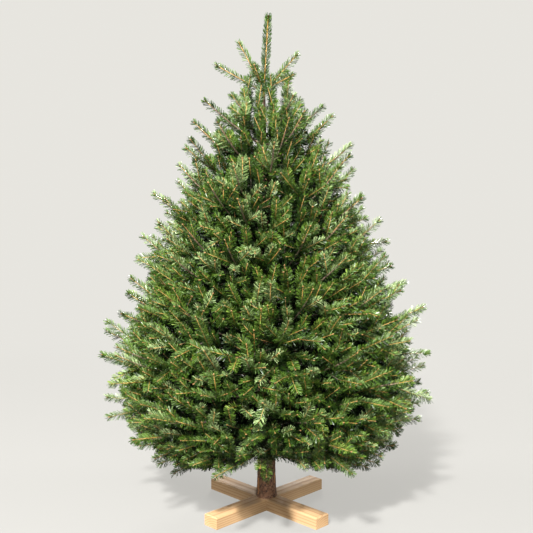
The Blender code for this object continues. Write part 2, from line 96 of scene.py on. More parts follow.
class NodeSheet:
    """A material's node tree, with short calls to add and feed its nodes."""

    def __init__(self, name: str) -> None:
        """Starts a material with a Principled shader."""
        self.material = bpy.data.materials.new(name)
        self.material.use_nodes = True
        self.tree = self.material.node_tree
        self.shader = self.tree.nodes["Principled BSDF"]

    def feed(self, value: Feed, target: Socket) -> None:
        """Gives a socket its value.

        Args:
            value: A socket to link it to, a number, or a colour.
            target: The socket.
        """
        if isinstance(value, Socket):
            self.tree.links.new(value, target)
        else:
            target.default_value = (*value, 1.0) if isinstance(value, tuple) else value

    def add(self, kind: str, **values: object) -> bpy.types.Node:
        """Adds a node.

        Args:
            kind: The node's type name.
            **values: Properties of the node, and its sockets' values under names that end in _in.

        Returns:
            The node.
        """
        node = self.tree.nodes.new(kind)
        for key, value in values.items():
            if key.endswith("_in"):
                node.inputs[key[:-3].replace("_", " ").title()].default_value = value
            else:
                setattr(node, key, value)
        return node

    def through(
        self, kind: str, source: Socket, into: str, out: str, **values: object
    ) -> Socket:
        """Adds a node and feeds it.

        Args:
            kind: The node's type name.
            source: What it is fed.
            into: The name of the socket that takes it.
            out: The name of the socket that gives the result.
            **values: The node's values, as for add.

        Returns:
            The result's socket.
        """
        node = self.add(kind, **values)
        self.feed(source, node.inputs[into])
        return node.outputs[out]

    def mapped(self, source: Socket, **values: object) -> Socket:
        """Coordinates, moved, turned and scaled."""
        return self.through("ShaderNodeMapping", source, "Vector", "Vector", **values)

    def place(self, **values: object) -> Socket:
        """Object coordinates, moved, turned and scaled."""
        return self.mapped(self.add("ShaderNodeTexCoord").outputs["Object"], **values)

    def grain(self, where: Socket, detail: float) -> Socket:
        """A noise over coordinates, with finer noises within it."""
        values = {"scale_in": 1.0, "detail_in": detail}
        return self.through("ShaderNodeTexNoise", where, "Vector", "Fac", **values)

    def spread(self, source: Socket, **values: object) -> Socket:
        """A value mapped from one range to another, each from 0 to 1 where it isn't told."""
        return self.through("ShaderNodeMapRange", source, "Value", "Result", **values)

    def attribute(self, name: str) -> Socket:
        """A value that the mesh holds."""
        return self.add("ShaderNodeAttribute", attribute_name=name).outputs["Fac"]

    def ramp(self, source: Socket, stops: tuple) -> Socket:
        """A colour ramp.

        Args:
            source: The value that drives it.
            stops: (place, colour) pairs.

        Returns:
            The colour's socket.
        """
        node = self.add("ShaderNodeValToRGB")
        elements = node.color_ramp.elements
        while len(elements) < len(stops):
            elements.new(0.5)
        for element, (where, colour) in zip(elements, stops):
            element.position = where
            element.color = (*colour, 1.0)
        self.feed(source, node.inputs["Fac"])
        return node.outputs["Color"]

    def mix(self, share: Feed, a: Feed, b: Feed, blend: str = "MIX") -> Socket:
        """Mixes two colours.

        Args:
            share: How much of b shows.
            a: The first colour.
            b: The second colour.
            blend: How b acts on a.

        Returns:
            The mixed colour's socket.
        """
        node = self.add("ShaderNodeMix", data_type="RGBA", blend_type=blend)
        self.feed(share, node.inputs["Factor"])
        self.feed(a, node.inputs[6])
        self.feed(b, node.inputs[7])
        return node.outputs[2]

    def bump(self, height: Socket, distance: float, strength: float) -> None:
        """Bumps the shader by a height.

        Args:
            height: The height's socket.
            distance: How far full height stands out, in metres.
            strength: The share of it that shows.
        """
        node = self.add("ShaderNodeBump", distance_in=distance, strength_in=strength)
        self.feed(height, node.inputs["Height"])
        self.feed(node.outputs["Normal"], self.shader.inputs["Normal"])

    def finish(self, colour: Feed, roughness: Feed, gloss: float = 0.5) -> bpy.types.Material:
        """Feeds the shader.

        Args:
            colour: The base colour.
            roughness: How dull it is.
            gloss: How much it reflects.

        Returns:
            The material.
        """
        self.feed(colour, self.shader.inputs["Base Color"])
        self.feed(roughness, self.shader.inputs["Roughness"])
        self.feed(gloss, self.shader.inputs["Specular IOR Level"])
        return self.material


@dataclass(frozen=True)
class PlainFinish:
    """A finish of one colour, for things too small to show a grain.

    Args:
        name: The material's name.
        colour: Its base colour, linear.
        roughness: How dull it is.
        gloss: How much it reflects.
    """

    name: str
    colour: Colour
    roughness: float = 0.6
    gloss: float = 0.5

    def build(self) -> bpy.types.Material:
        """Makes the material."""
        return NodeSheet(self.name).finish(self.colour, self.roughness, self.gloss)


# SHADE and the darkest green are painted shade, and duller as well; DEEP is partly painted shade;
# the frosted green is partly a painted highlight
NEEDLE_FINISHES = {
    Tone.FROSTED_AND_HIGHLIGHT: PlainFinish("needle_frosted_and_highlight", (0.226, 0.288, 0.126), 0.36, 0.38),
    Tone.SAGE: PlainFinish("needle_sage", (0.095, 0.147, 0.044), 0.36, 0.38),
    Tone.MID: PlainFinish("needle_mid", (0.053, 0.099, 0.010), 0.36, 0.36),
    Tone.DEEP: PlainFinish("needle_deep", (0.016, 0.039, 0.004), 0.38, 0.30),
    Tone.FRESH: PlainFinish("needle_fresh", (0.058, 0.114, 0.012), 0.36, 0.34),
    Tone.YELLOW: PlainFinish("needle_yellow", (0.150, 0.205, 0.035), 0.38, 0.36),
    Tone.SHADE: PlainFinish("needle_shade", (0.011, 0.027, 0.005), 0.45, 0.25),
    Tone.DEEP_SHADE: PlainFinish("needle_deep_shade", (0.006, 0.013, 0.003), 0.6, 0.12),
}
# Twig colours by age; the second-year and old ones also serve as painted shade where growth
# covers a twig
TWIG_FINISHES = {
    TwigTone.NEW: PlainFinish("twig_new", (0.310, 0.155, 0.034)),
    TwigTone.SECOND_AND_HALF_SHADE: PlainFinish("twig_second_and_half_shade", (0.175, 0.085, 0.024)),
    TwigTone.OLD_AND_DEEP_SHADE: PlainFinish("twig_old_and_deep_shade", (0.035, 0.021, 0.012)),
}
BUD_FINISH = PlainFinish("bud_scales", (0.21, 0.108, 0.032), 0.45)

# The lighter tone that needles take on a shoot's upper side, as a painted highlight, and at a
# young tip; and the darker tone that they take below and at the heel, as painted shade
LIGHTER = {
    Tone.SAGE: Tone.FROSTED_AND_HIGHLIGHT, Tone.MID: Tone.SAGE, Tone.DEEP: Tone.MID,
    Tone.FRESH: Tone.YELLOW, Tone.SHADE: Tone.DEEP,
}
DARKER = {
    Tone.FROSTED_AND_HIGHLIGHT: Tone.SAGE, Tone.SAGE: Tone.DEEP, Tone.MID: Tone.DEEP,
    Tone.DEEP: Tone.SHADE, Tone.FRESH: Tone.DEEP, Tone.YELLOW: Tone.FRESH,
    Tone.SHADE: Tone.DEEP_SHADE,
}


@dataclass(frozen=True)
class BarkFinish:
    """Scaly red-brown trunk bark: dark cracks, rusty flakes, tan-grey flecks and torn spots.

    Args:
        name: The material's name.
        crack: The colour between the scales.
        rust: The darker colour of the scales.
        flake: Their lighter colour.
        fleck: The colour of the small flecks on them.
        bare: The colour of the wood where bark is torn off.
        blotches: Blotches to a metre, on each axis.
        flecks: Flecks to a metre, on each axis.
    """

    name: str = "scaly_bark"
    crack: Colour = (0.019, 0.009, 0.006)
    rust: Colour = (0.105, 0.043, 0.019)
    flake: Colour = (0.168, 0.082, 0.040)
    fleck: Colour = (0.255, 0.170, 0.110)
    bare: Colour = (0.420, 0.185, 0.062)
    blotches: tuple[float, float, float] = (55.0, 55.0, 32.0)
    flecks: tuple[float, float, float] = (260.0, 260.0, 150.0)

    def build(self) -> bpy.types.Material:
        """Makes the material, led by the mesh's own relief."""
        sheet = NodeSheet(self.name)
        blotch = sheet.grain(sheet.place(scale_in=self.blotches), 5.0)
        body = sheet.ramp(blotch, ((0.34, self.rust), (0.52, self.flake), (0.70, self.rust)))
        fine = sheet.grain(sheet.place(scale_in=self.flecks), 3.0)
        body = sheet.mix(sheet.spread(fine, from_min_in=0.60, from_max_in=0.70), body, self.fleck)
        scale = sheet.spread(sheet.attribute("relief"), from_min_in=0.05, from_max_in=0.36)
        colour = sheet.mix(scale, self.crack, body)
        colour = sheet.mix(sheet.attribute("bare"), colour, self.bare)
        sheet.bump(fine, 0.0012, 0.8)
        return sheet.finish(colour, sheet.spread(fine, to_min_in=0.72, to_max_in=0.95))


@dataclass(frozen=True)
class BoughFinish:
    """Young bark on boughs: grey-brown, finely grained."""

    name: str = "bough_bark"
    dark: Colour = (0.050, 0.030, 0.019)
    light: Colour = (0.170, 0.115, 0.075)
    grains: tuple[float, float, float] = (170.0, 170.0, 170.0)

    def build(self) -> bpy.types.Material:
        """Makes the material."""
        sheet = NodeSheet(self.name)
        grain = sheet.grain(sheet.place(scale_in=self.grains), 4.0)
        colour = sheet.ramp(grain, ((0.35, self.dark), (0.65, self.light)))
        sheet.bump(grain, 0.0008, 0.7)
        return sheet.finish(colour, sheet.spread(grain, to_min_in=0.65, to_max_in=0.9))


@dataclass(frozen=True)
class TimberFinish:
    """Planed softwood with growth rings round a pith beside the beam.

    Args:
        name: The material's name.
        angle: The way the beam runs, in degrees from +X.
        pale: The colour of early wood.
        band: The colour of late wood.
        stain: What darkens it in long streaks.
        pith: Where the pith lies from the beam's line.
    """

    name: str
    angle: float
    pale: Colour = (0.360, 0.238, 0.126)
    band: Colour = (0.268, 0.158, 0.074)
    stain: Colour = (0.86, 0.80, 0.72)
    pith: tuple[float, float, float] = (0.0, 0.025, 0.045)

    def build(self) -> bpy.types.Material:
        """Makes the material."""
        sheet = NodeSheet(self.name)
        along = sheet.place(rotation_in=(0.0, 0.0, -math.radians(self.angle)))
        streak = sheet.grain(sheet.mapped(along, scale_in=(2.0, 14.0, 14.0)), 2.0)
        centred = sheet.mapped(along, location_in=self.pith, scale_in=(0.08, 1.0, 1.0))
        rings = sheet.through(
            "ShaderNodeTexWave", centred, "Vector", "Fac", wave_type="RINGS",
            rings_direction="X", scale_in=36.0, distortion_in=2.2, detail_in=2.0,
            detail_scale_in=0.4,
        )
        wood = sheet.ramp(rings, ((0.15, self.pale), (0.75, self.pale), (0.97, self.band)))
        stain = sheet.ramp(streak, ((0.3, self.stain), (0.7, WHITE)))
        colour = sheet.mix(1.0, wood, stain, "MULTIPLY")
        sheet.bump(rings, 0.0005, 0.4)
        return sheet.finish(colour, sheet.spread(rings, to_min_in=0.72, to_max_in=0.88), 0.25)


@dataclass(frozen=True)
class SteelFinish:
    """Zinc-plated steel with a faint mottle."""

    name: str = "zinc_steel"
    dark: Colour = (0.50, 0.50, 0.48)
    light: Colour = (0.68, 0.67, 0.63)
    spots: tuple[float, float, float] = (900.0, 900.0, 900.0)

    def build(self) -> bpy.types.Material:
        """Makes the material."""
        sheet = NodeSheet(self.name)
        sheet.feed(1.0, sheet.shader.inputs["Metallic"])
        mottle = sheet.grain(sheet.place(scale_in=self.spots), 3.0)
        colour = sheet.ramp(mottle, ((0.3, self.dark), (0.7, self.light)))
        return sheet.finish(colour, sheet.spread(mottle, to_min_in=0.28, to_max_in=0.45))


@dataclass(frozen=True)
class Ring:
    """One ring of boughs.

    Args:
        height: Height of its roots above the saw cut.
        count: How many boughs it has.
        turn: Turn of the first bough, in degrees.
        reach: How far the tips stand from the trunk.
        lift: How far the tips stand above the roots.
        slope: Slope at the tips, in degrees.
        bare: The share of each bough that carries nothing.
        pitch: The length of a year's growth on it.
    """

    height: float
    count: int
    turn: float
    reach: float
    lift: float
    slope: float
    bare: float
    pitch: float

    def sizes(self) -> tuple[float, float, float, float, float]:
        """The sizes that change smoothly from ring to ring."""
        return self.height, self.reach, self.lift, self.slope, self.pitch


# The rings of boughs, from the lowest
RINGS = (
    Ring(0.180, 5, 54.0, 0.480, 0.072, -8.0, 0.40, 0.110),
    Ring(0.305, 5, 8.0, 0.620, 0.050, 2.0, 0.38, 0.114),
    Ring(0.440, 5, 34.0, 0.645, 0.125, 18.0, 0.38, 0.118),
    Ring(0.600, 5, 60.0, 0.590, 0.180, 28.0, 0.13, 0.124),
    Ring(0.772, 5, 14.0, 0.500, 0.222, 36.0, 0.13, 0.130),
    Ring(0.973, 5, 40.0, 0.415, 0.230, 41.0, 0.13, 0.138),
    Ring(1.187, 4, 5.0, 0.320, 0.210, 43.0, 0.13, 0.146),
    Ring(1.400, 4, 22.0, 0.250, 0.165, 40.0, 0.13, 0.150),
)
TOP_RING = Ring(1.60, 7, 0.0, 0.17, 0.13, 42.0, 0.05, 0.15)
FOOT_RING = Ring(0.140, 7, 0.0, 0.425, 0.010, -16.0, 0.13, 0.105)
FOOT_TURNS = (-6.0, 24.0, 58.0, 90.0, 124.0, 156.0, 187.0)
# How many small boughs stand between each ring and the next, and how they stand
BETWEEN = (7, 9, 10, 11, 13, 12, 9, 1)
BETWEEN_BARE = 0.13
BETWEEN_TURN = 30.0
BETWEEN_STEEPER = 8.0
# How many rings have solid boughs
BOUGHED_RINGS = 3
LENGTH_SPREAD = 0.05
# Turn, slope and length of each shoot round the foot of the leader
TOP_SHOOTS = (
    (184.0, 62.0, 0.200),
    (194.0, 27.0, 0.205),
    (-8.0, 47.0, 0.188),
    (44.0, 34.0, 0.150),
    (112.0, 44.0, 0.160),
    (312.0, 14.0, 0.165),
    (250.0, 40.0, 0.130),
)
# Height above the cut, and the crown's radius there
CROWN = (
    (0.06, 0.28), (0.14, 0.44), (0.24, 0.555), (0.36, 0.640),
    (0.48, 0.660), (0.66, 0.615), (0.82, 0.560), (1.15, 0.420),
    (1.49, 0.280), (1.74, 0.150), (1.90, 0.020),
)
# Height above the cut, and the slope that shoots turn to there
SHOOT_SLOPES = (
    (0.0, -30.0), (0.18, -12.0), (0.30, 10.0), (0.45, 28.0),
    (0.80, 36.0), (1.10, 37.0), (1.40, 42.0), (1.90, 58.0),
)
# Distance from the trunk's line, and the height above the cut where the crown begins
UNDERSIDE = (
    (0.00, 0.072), (0.34, 0.062), (0.40, 0.108), (0.46, 0.160),
    (0.53, 0.222), (0.58, 0.262), (0.64, 0.315), (0.72, 0.420),
)
# Half the width of the gap in front of the stub, and the height that it is clear to
STUB_GAP = 0.085
STUB_TOP = 0.116
# Where the camera stands: above the cut, and from the trunk's line
EYE_HEIGHT = 1.23
EYE_DISTANCE = 3.2
# The lobes of the crown's outline
LOBE_DEPTH = 0.040
LOBES_PER_METRE = 7.5
# How much sooner twigs stop above the crown's underside than at its sides
UNDER_WEIGHT = 1.6
# How far the crown may reach to the left, right, front and back
SIDE_LIMITS = (-0.643, 0.620, -0.620, 0.634)
# Slopes of the ways out of the crown that light may come by
WAYS_OUT = (-25.0, 10.0, 45.0)


def clamp(value: float) -> float:
    """A value kept from 0 to 1."""
    return min(1.0, max(0.0, value))


def read(table: Table, place: float) -> float:
    """Reads a table of places and values, on straight lines between its rows.

    Args:
        table: The rows, from the lowest place up.
        place: The place to read it at.

    Returns:
        The value there.
    """
    for (low, first), (high, last) in zip(table, table[1:]):
        if place <= high:
            return first + (last - first) * max(0.0, (place - low) / (high - low))
    return table[-1][1]


def raised(flat: Vector, degrees: float) -> Vector:
    """A level way, raised to a slope."""
    slope = math.radians(degrees)
    return flat * math.cos(slope) + UP * math.sin(slope)


def faced(way: Vector, up: Vector) -> Vector:
    """The way nearest to up that is square to a way."""
    return way.cross(up).normalized().cross(way).normalized()


def slimness(place: Vector) -> float:
    """How far a place is up the slim top of the crown, from 0 to 1."""
    return clamp((place.z - 1.25) / 0.4)


def depth_in_crown(place: Vector) -> float:
    """How far a place is inside the crown's outline, measured level or from below.

    Args:
        place: The place.

    Returns:
        The distance, below zero outside.
    """
    height = place.z - CUT_Z
    radius = math.hypot(place.x, place.y)
    above = height - read(UNDERSIDE, radius)
    if place.y < 0:
        nearer = EYE_DISTANCE / (EYE_DISTANCE + place.y)
        across = abs(place.x) * nearer
        fringe = max(read(UNDERSIDE, across), STUB_TOP if across < STUB_GAP else 0.0)
        above = min(above, EYE_HEIGHT + (height - EYE_HEIGHT) * nearer - fringe)
    outline = read(CROWN, height) + LOBE_DEPTH * noise.noise(place * LOBES_PER_METRE)
    left, right, front, back = SIDE_LIMITS
    edge = min(place.x - left, right - place.x, place.y - front, back - place.y)
    return min(outline - radius, above * UNDER_WEIGHT, edge)


@dataclass
class TrunkLine:
    """The trunk's middle line and thickness.

    Args:
        foot_radius: Radius at the cut, before the flare.
        top_radius: Radius at the foot of the leader.
        flare: How far the foot flares.
        flare_height: How high the flare reaches.
        sweep: How far the line swings sideways by the foot of the leader.
        leader_sweep: How far the leader leans past that.
    """

    foot_radius: float = 0.0392
    top_radius: float = 0.0070
    flare: float = 0.003
    flare_height: float = 0.10
    sweep: float = -0.011
    leader_sweep: float = 0.018

    def centre(self, height: float) -> Vector:
        """The middle of the trunk at a height above the cut.

        Args:
            height: The height.

        Returns:
            The place.
        """
        share = clamp((height - self.flare_height) / (TOP_NODE - self.flare_height))
        x = self.sweep * share * share * (3 - 2 * share)
        x += self.leader_sweep * max(0.0, (height - TOP_NODE) / (TREE_HEIGHT - TOP_NODE))
        return Vector((x, 0.0, CUT_Z + height))

    def radius(self, height: float) -> float:
        """The trunk's radius at a height above the cut."""
        radius = self.foot_radius + (self.top_radius - self.foot_radius) * height / TOP_NODE
        return radius + self.flare * max(0.0, 1 - height / self.flare_height) ** 2


TRUNK_LINE = TrunkLine()


@dataclass
class Shoot:
    """One year's growth of a twig.

    Args:
        start: Its root.
        end: Its tip.
        up: The way its spray faces.
        age: Years since it grew; 0 is this year's.
        order: 0 on a bough, 1 on its side twigs and so on.
        root_radius: Thickness at the root.
        close: True for the leader, whose needles lie close and point up all round.
        tone: Its needles' tone, where its cover and age aren't to settle it.
        cover: How thick the growth between it and the open is.
        needle: The length of its needles as a share of full ones.
    """

    start: Vector
    end: Vector
    up: Vector
    age: int
    order: int
    root_radius: float
    close: bool = False
    tone: Tone | None = None
    cover: float = 0.0
    needle: float = 1.0

    def point(self, share: float) -> Vector:
        """The place at a share of the way to its tip."""
        return self.start.lerp(self.end, share)


@dataclass
class Bud:
    """A growing point that may make a side twig.

    Args:
        place: Where it sits.
        way: The way it would grow.
        up: The way its parent's spray faces.
        years: How many years it would grow.
        pitch: A year's growth.
        order: The order of its twig.
    """

    place: Vector
    way: Vector
    up: Vector
    years: int
    pitch: float
    order: int


class BoughLine:
    """The line of one bough, from the trunk's middle to its tip."""

    longer = 1.03

    def __init__(self, ring: Ring, degrees: float, seed: int) -> None:
        """Works out the line.

        Args:
            ring: The ring it belongs to, or a ring between two.
            degrees: Its turn.
            seed: The seed of its random draws.
        """
        self.ring = ring
        self.rng = random.Random(seed)
        turn = math.radians(degrees)
        stretch = 1 + self.rng.uniform(-LENGTH_SPREAD, LENGTH_SPREAD)
        outward = Vector((math.cos(turn), math.sin(turn), 0.0))
        self.root = TRUNK_LINE.centre(ring.height)
        self.tip = Vector((0, 0, self.root.z + ring.lift * stretch))
        self.tip += outward * (ring.reach * stretch)
        span = (self.tip - self.root).length
        self.bend = self.tip - raised(outward, ring.slope) * (span * 0.5)
        self.length = span * self.longer

    def point(self, share: float) -> Vector:
        """The place at a share of the way to the tip."""
        first = self.root.lerp(self.bend, share)
        return first.lerp(self.bend.lerp(self.tip, share), share)

    def direction(self, share: float) -> Vector:
        """The way that the bough runs at a share of the way to the tip."""
        first = self.root.lerp(self.bend, share)
        return (self.bend.lerp(self.tip, share) - first).normalized()


def ring_boughs(level: int) -> list[BoughLine]:
    """The boughs of one ring, counted from the lowest."""
    ring = RINGS[level]
    return [
        BoughLine(ring, ring.turn + index * 360.0 / ring.count, SEED * 1000 + level * 20 + index)
        for index in range(ring.count)
    ]


def between_boughs(level: int) -> list[BoughLine]:
    """The small boughs on the trunk between one ring and the next.

    Args:
        level: The lower ring.

    Returns:
        Their lines.
    """
    low = RINGS[level]
    high = RINGS[level + 1] if level + 1 < len(RINGS) else TOP_RING
    count = BETWEEN[level]
    rng = random.Random(SEED * 77 + level)
    lines = []
    for number in range(count):
        share = (number % 3 + rng.uniform(0.7, 1.3)) / 4
        mixed = [a + (b - a) * share for a, b in zip(low.sizes(), high.sizes())]
        height, reach, lift, slope, pitch = mixed
        reach *= rng.uniform(0.91, 1.01)
        slope += BETWEEN_STEEPER
        ring = Ring(height, count, 0.0, reach, lift, slope, BETWEEN_BARE, pitch)
        turn = low.turn + BETWEEN_TURN + number * GOLDEN_TURN + rng.uniform(-12, 12)
        lines.append(BoughLine(ring, turn, SEED * 5000 + level * 40 + number))
    return lines


def foot_boughs() -> list[BoughLine]:
    """The small drooping boughs under the lowest ring, clear of the view of the stub."""
    return [
        BoughLine(FOOT_RING, turn, SEED * 9000 + number)
        for number, turn in enumerate(FOOT_TURNS)
    ]


class Thicket:
    """A grid that tells how crowded each spot of the crown is."""

    cell = 0.050
    apart = 0.01

    def __init__(self) -> None:
        """Starts empty."""
        self.held: dict[tuple[int, int, int], float] = {}

    def at(self, place: Vector) -> float:
        """How many metres of shoot the cell of a place holds."""
        return self.held.get(self.key(place), 0.0)

    def key(self, place: Vector) -> tuple[int, int, int]:
        """The grid cell of a place."""
        return tuple(math.floor(value / self.cell) for value in place)

    def spots(self, start: Vector, end: Vector) -> list[Vector]:
        """Places along a shoot from its root to its tip, a centimetre apart."""
        number = max(2, int((end - start).length / self.apart))
        return [start.lerp(end, (step + 0.5) / number) for step in range(number)]

    def crowd(self, start: Vector, end: Vector) -> float:
        """How crowded the cells are that a new shoot would cross, past the first third of it.

        Args:
            start: Its root.
            end: Its tip.

        Returns:
            The metres of shoot that they hold, on average.
        """
        spots = self.spots(start, end)
        spots = spots[len(spots) // 3:]
        return sum(self.at(spot) for spot in spots) / len(spots)

    def fill(self, start: Vector, end: Vector) -> None:
        """Counts a new shoot.

        Args:
            start: Its root.
            end: Its tip.
        """
        spots = self.spots(start, end)
        each = (end - start).length / len(spots)
        for spot in spots:
            key = self.key(spot)
            self.held[key] = self.held.get(key, 0.0) + each


@dataclass
class Growth:
    """The rule by which boughs branch into shoots.

    Args:
        fork: Angle between a twig and its side twigs, in degrees.
        upright: Angle between a bough and the twigs above and below it, in degrees.
        steepest: The steepest slope of a twig above its bough, in degrees.
        side_share: A side twig's yearly growth as a share of its parent's.
        upright_share: The same for the twigs above and below.
        small_share: The same for the small twigs along a shoot.
        skipped: The share of small buds and of buds below that don't grow.
        deepest: The highest order of twig.
        bare_depth: Depth in the crown past which a twig has lost its needles.
        crowded: For twigs of each order, the metres of shoot in a cell past which none grows.
        pull: How strongly twigs turn outward each year.
        shortest: The shortest shoot that is kept.
        stunted: The least share of its wanted length that a shoot is kept at.
        recess: How far short of the outline twigs of each order stop.
        leading: The share of twigs that reach the outline all the same.
        lead_gap: The least distance between two tips that run on to the outline.
        lead_length: The longest such shoot.
        lead_top: The height above which none does, so that the top stays open.
        lead_depth: How deep in the crown a tip may be and still run on.
        at_outline: How near the outline a tip counts as there.
        step: How finely the way to the outline is felt out.
        empty: The share of a full cell that counts as empty, for each round of filling.
        gap_depth: How far gaps to be filled are from the outline and from bare_depth.
        gap_slim: How much farther from the outline they are in the slim top.
        gap_twig: The nearest and the farthest twig that a gap is filled from.
        gap_shoot: The shortest and the longest shoot that fills a gap.
        gap_full: The share of a full cell past which no such shoot grows.
        way_step: The length of a step along a way out of the crown.
        way_weight: How much a metre of shoot beside it covers.
        slim_radius: The crown's radius at which its slim top starts to count as covered.
    """

    fork: float = 47.0
    upright: float = 40.0
    steepest: float = 66.0
    side_share: float = 0.86
    upright_share: float = 0.85
    small_share: float = 0.8
    skipped: float = 0.4
    deepest: int = 3
    bare_depth: float = 0.40
    crowded: tuple[float, ...] = (0.0, 0.055, 0.034, 0.026)
    pull: float = 0.11
    shortest: float = 0.065
    stunted: float = 0.66
    recess: Table = ((0.0, 0.0), (0.050, 0.095), (0.072, 0.110), (0.082, 0.120))
    leading: float = 0.05
    lead_gap: float = 0.10
    lead_length: float = 0.20
    lead_top: float = 1.58
    lead_depth: float = 0.14
    at_outline: float = 0.03
    step: float = 0.006
    empty: tuple[float, ...] = (0.3, 0.5, 0.6, 0.6)
    gap_depth: tuple[float, float] = (0.085, 0.03)
    gap_slim: float = 0.040
    gap_twig: tuple[float, float] = (0.045, 0.12)
    gap_shoot: tuple[float, float] = (0.06, 0.12)
    gap_full: float = 0.8
    way_step: float = 0.025
    way_weight: float = 5.4
    slim_radius: float = 0.46
    thicket: Thicket = field(default_factory=Thicket)

    def aim(self, place: Vector) -> Vector:
        """The way that shoots turn at a place: outward, and up with height.

        Args:
            place: The place.

        Returns:
            The direction.
        """
        flat = Vector((place.x, place.y, 0.0))
        flat = flat.normalized() if flat.length > 0.02 else Vector((0.0, 0.0, 0.0))
        return raised(flat, read(SHOOT_SLOPES, place.z - CUT_Z)).normalized()

    def run_inside(self, root: Vector, way: Vector, longest: float, spare: float) -> float:
        """How far a shoot runs before it meets the crown's outline.

        Args:
            root: The shoot's root.
            way: Its direction.
            longest: How far it would run.
            spare: How far it stops short of the outline.

        Returns:
            The length.
        """
        run = 0.0
        while run < longest:
            if depth_in_crown(root + way * (run + self.step)) < spare:
                return run
            run += self.step
        return longest

    def side_buds(
        self, rng: random.Random, shoot: Shoot, way: Vector, pitch: float, years: int
    ) -> list[Bud]:
        """The pair of side buds at a shoot's tip, and up to two on each side along it.

        Args:
            rng: Random draws.
            shoot: The shoot.
            way: The way it runs.
            pitch: Its yearly growth.
            years: How many years the twigs would grow.

        Returns:
            The buds.
        """
        up = shoot.up
        across = way.cross(up).normalized()
        order = shoot.order + 1
        small_years = 1 if shoot.age < 3 else 2
        buds = []
        for side in (-1, 1):
            fork = math.radians(self.fork + rng.uniform(-7, 7))
            tilt = math.radians(rng.uniform(-12, 18))
            turned = way * math.cos(fork) + across * (side * math.sin(fork))
            turned = (turned * math.cos(tilt) + up * math.sin(tilt)).normalized()
            buds.append(Bud(shoot.end, turned, up, years, pitch * self.side_share, order))
            for share in (rng.uniform(0.2, 0.5), rng.uniform(0.5, 0.8)):
                if rng.random() < self.skipped:
                    continue
                lean = Vector([rng.uniform(-0.35, 0.35) for _ in range(3)])
                place, small = shoot.point(share), (turned + lean).normalized()
                growth = pitch * self.small_share
                buds.append(Bud(place, small, up, small_years, growth, max(order, 2)))
        return buds

    def upright_buds(
        self, rng: random.Random, shoot: Shoot, way: Vector, pitch: float
    ) -> list[Bud]:
        """The buds above and below a shoot's tip.

        Args:
            rng: Random draws.
            shoot: The shoot.
            way: The way it runs.
            pitch: Its yearly growth.

        Returns:
            The buds.
        """
        up = shoot.up
        across = way.cross(up).normalized()
        slope = math.degrees(math.asin(way.z))
        years = min(shoot.age, 3)
        buds = []
        for side in (1, -1):
            if side < 0 and rng.random() < self.skipped:
                continue
            rise = min(self.upright, self.steepest - slope) if side > 0 else -self.upright
            rise = math.radians(rise + rng.uniform(-8, 8))
            turned = way * math.cos(rise) + up * math.sin(rise)
            turned = (turned + across * rng.uniform(-0.45, 0.45)).normalized()
            growth = pitch * self.upright_share
            buds.append(Bud(shoot.end, turned, up, years, growth, shoot.order + 1))
        return buds

    def axis(self, line: BoughLine) -> tuple[list[Shoot], list[Bud]]:
        """The yearly shoots along one bough, and their buds.

        Args:
            line: The bough's line.

        Returns:
            The shoots and the buds.
        """
        rng, ring = line.rng, line.ring
        first = max(ring.bare, 0.05)
        years = max(2, round(line.length * (1 - first) / ring.pitch))
        shares = [first + (1 - first) * step / years for step in range(years + 1)]
        shoots, buds = [], []
        for year in range(years):
            age = years - 1 - year
            start, end = line.point(shares[year]), line.point(shares[year + 1])
            ahead = line.direction(shares[year + 1])
            shoot = Shoot(
                start, end, faced(ahead, UP), age, 0, 0.0015 + 0.0006 * min(age, 4)
            )
            shoots.append(shoot)
            self.count(shoot)
            if age:
                buds += self.side_buds(rng, shoot, ahead, ring.pitch, age)
                buds += self.upright_buds(rng, shoot, ahead, ring.pitch)
        return shoots, buds

    def count(self, shoot: Shoot) -> None:
        """Counts a shoot that carries needles in the thicket."""
        if depth_in_crown(shoot.point(0.5)) < self.bare_depth:
            self.thicket.fill(shoot.start, shoot.end)

    def twig(self, rng: random.Random, bud: Bud) -> tuple[list[Shoot], list[Bud]]:
        """Grows one bud into a twig, year by year.

        Args:
            rng: Random draws.
            bud: The bud.

        Returns:
            Its shoots and their buds.
        """
        place, heading, up = bud.place, bud.way, bud.up
        low, high = self.recess[bud.order]
        spare = rng.uniform(low, high) * (1 + 0.6 * slimness(place))
        if bud.order < 3 and rng.random() < self.leading:
            spare = 0.0
        shoots, buds = [], []
        for year in range(bud.years):
            age = bud.years - 1 - year
            sway = Vector([rng.uniform(-0.07, 0.07) for _ in range(3)])
            heading = (heading + self.aim(place) * self.pull + sway).normalized()
            wanted = bud.pitch * rng.uniform(0.86, 1.14)
            length = self.run_inside(place, heading, wanted, spare)
            if length < max(self.shortest, wanted * self.stunted):
                break
            end = place + heading * length
            depth = depth_in_crown(end)
            full = self.crowded[bud.order]
            if depth < self.bare_depth and self.thicket.crowd(place, end) > full:
                break
            stopped = length < wanted
            age = 0 if stopped else age
            thick = 0.0013 + 0.0005 * min(age, 4)
            shoot = Shoot(place, end, faced(heading, up), age, bud.order, thick)
            shoots.append(shoot)
            self.count(shoot)
            if stopped:
                break
            if age and bud.order < self.deepest:
                buds += self.side_buds(rng, shoot, heading, bud.pitch, age)
                if bud.order == 1 and depth < self.bare_depth:
                    buds += self.upright_buds(rng, shoot, heading, bud.pitch)
            place = end
        for shoot in shoots[-1:]:
            shoot.age = 0
        return shoots, buds

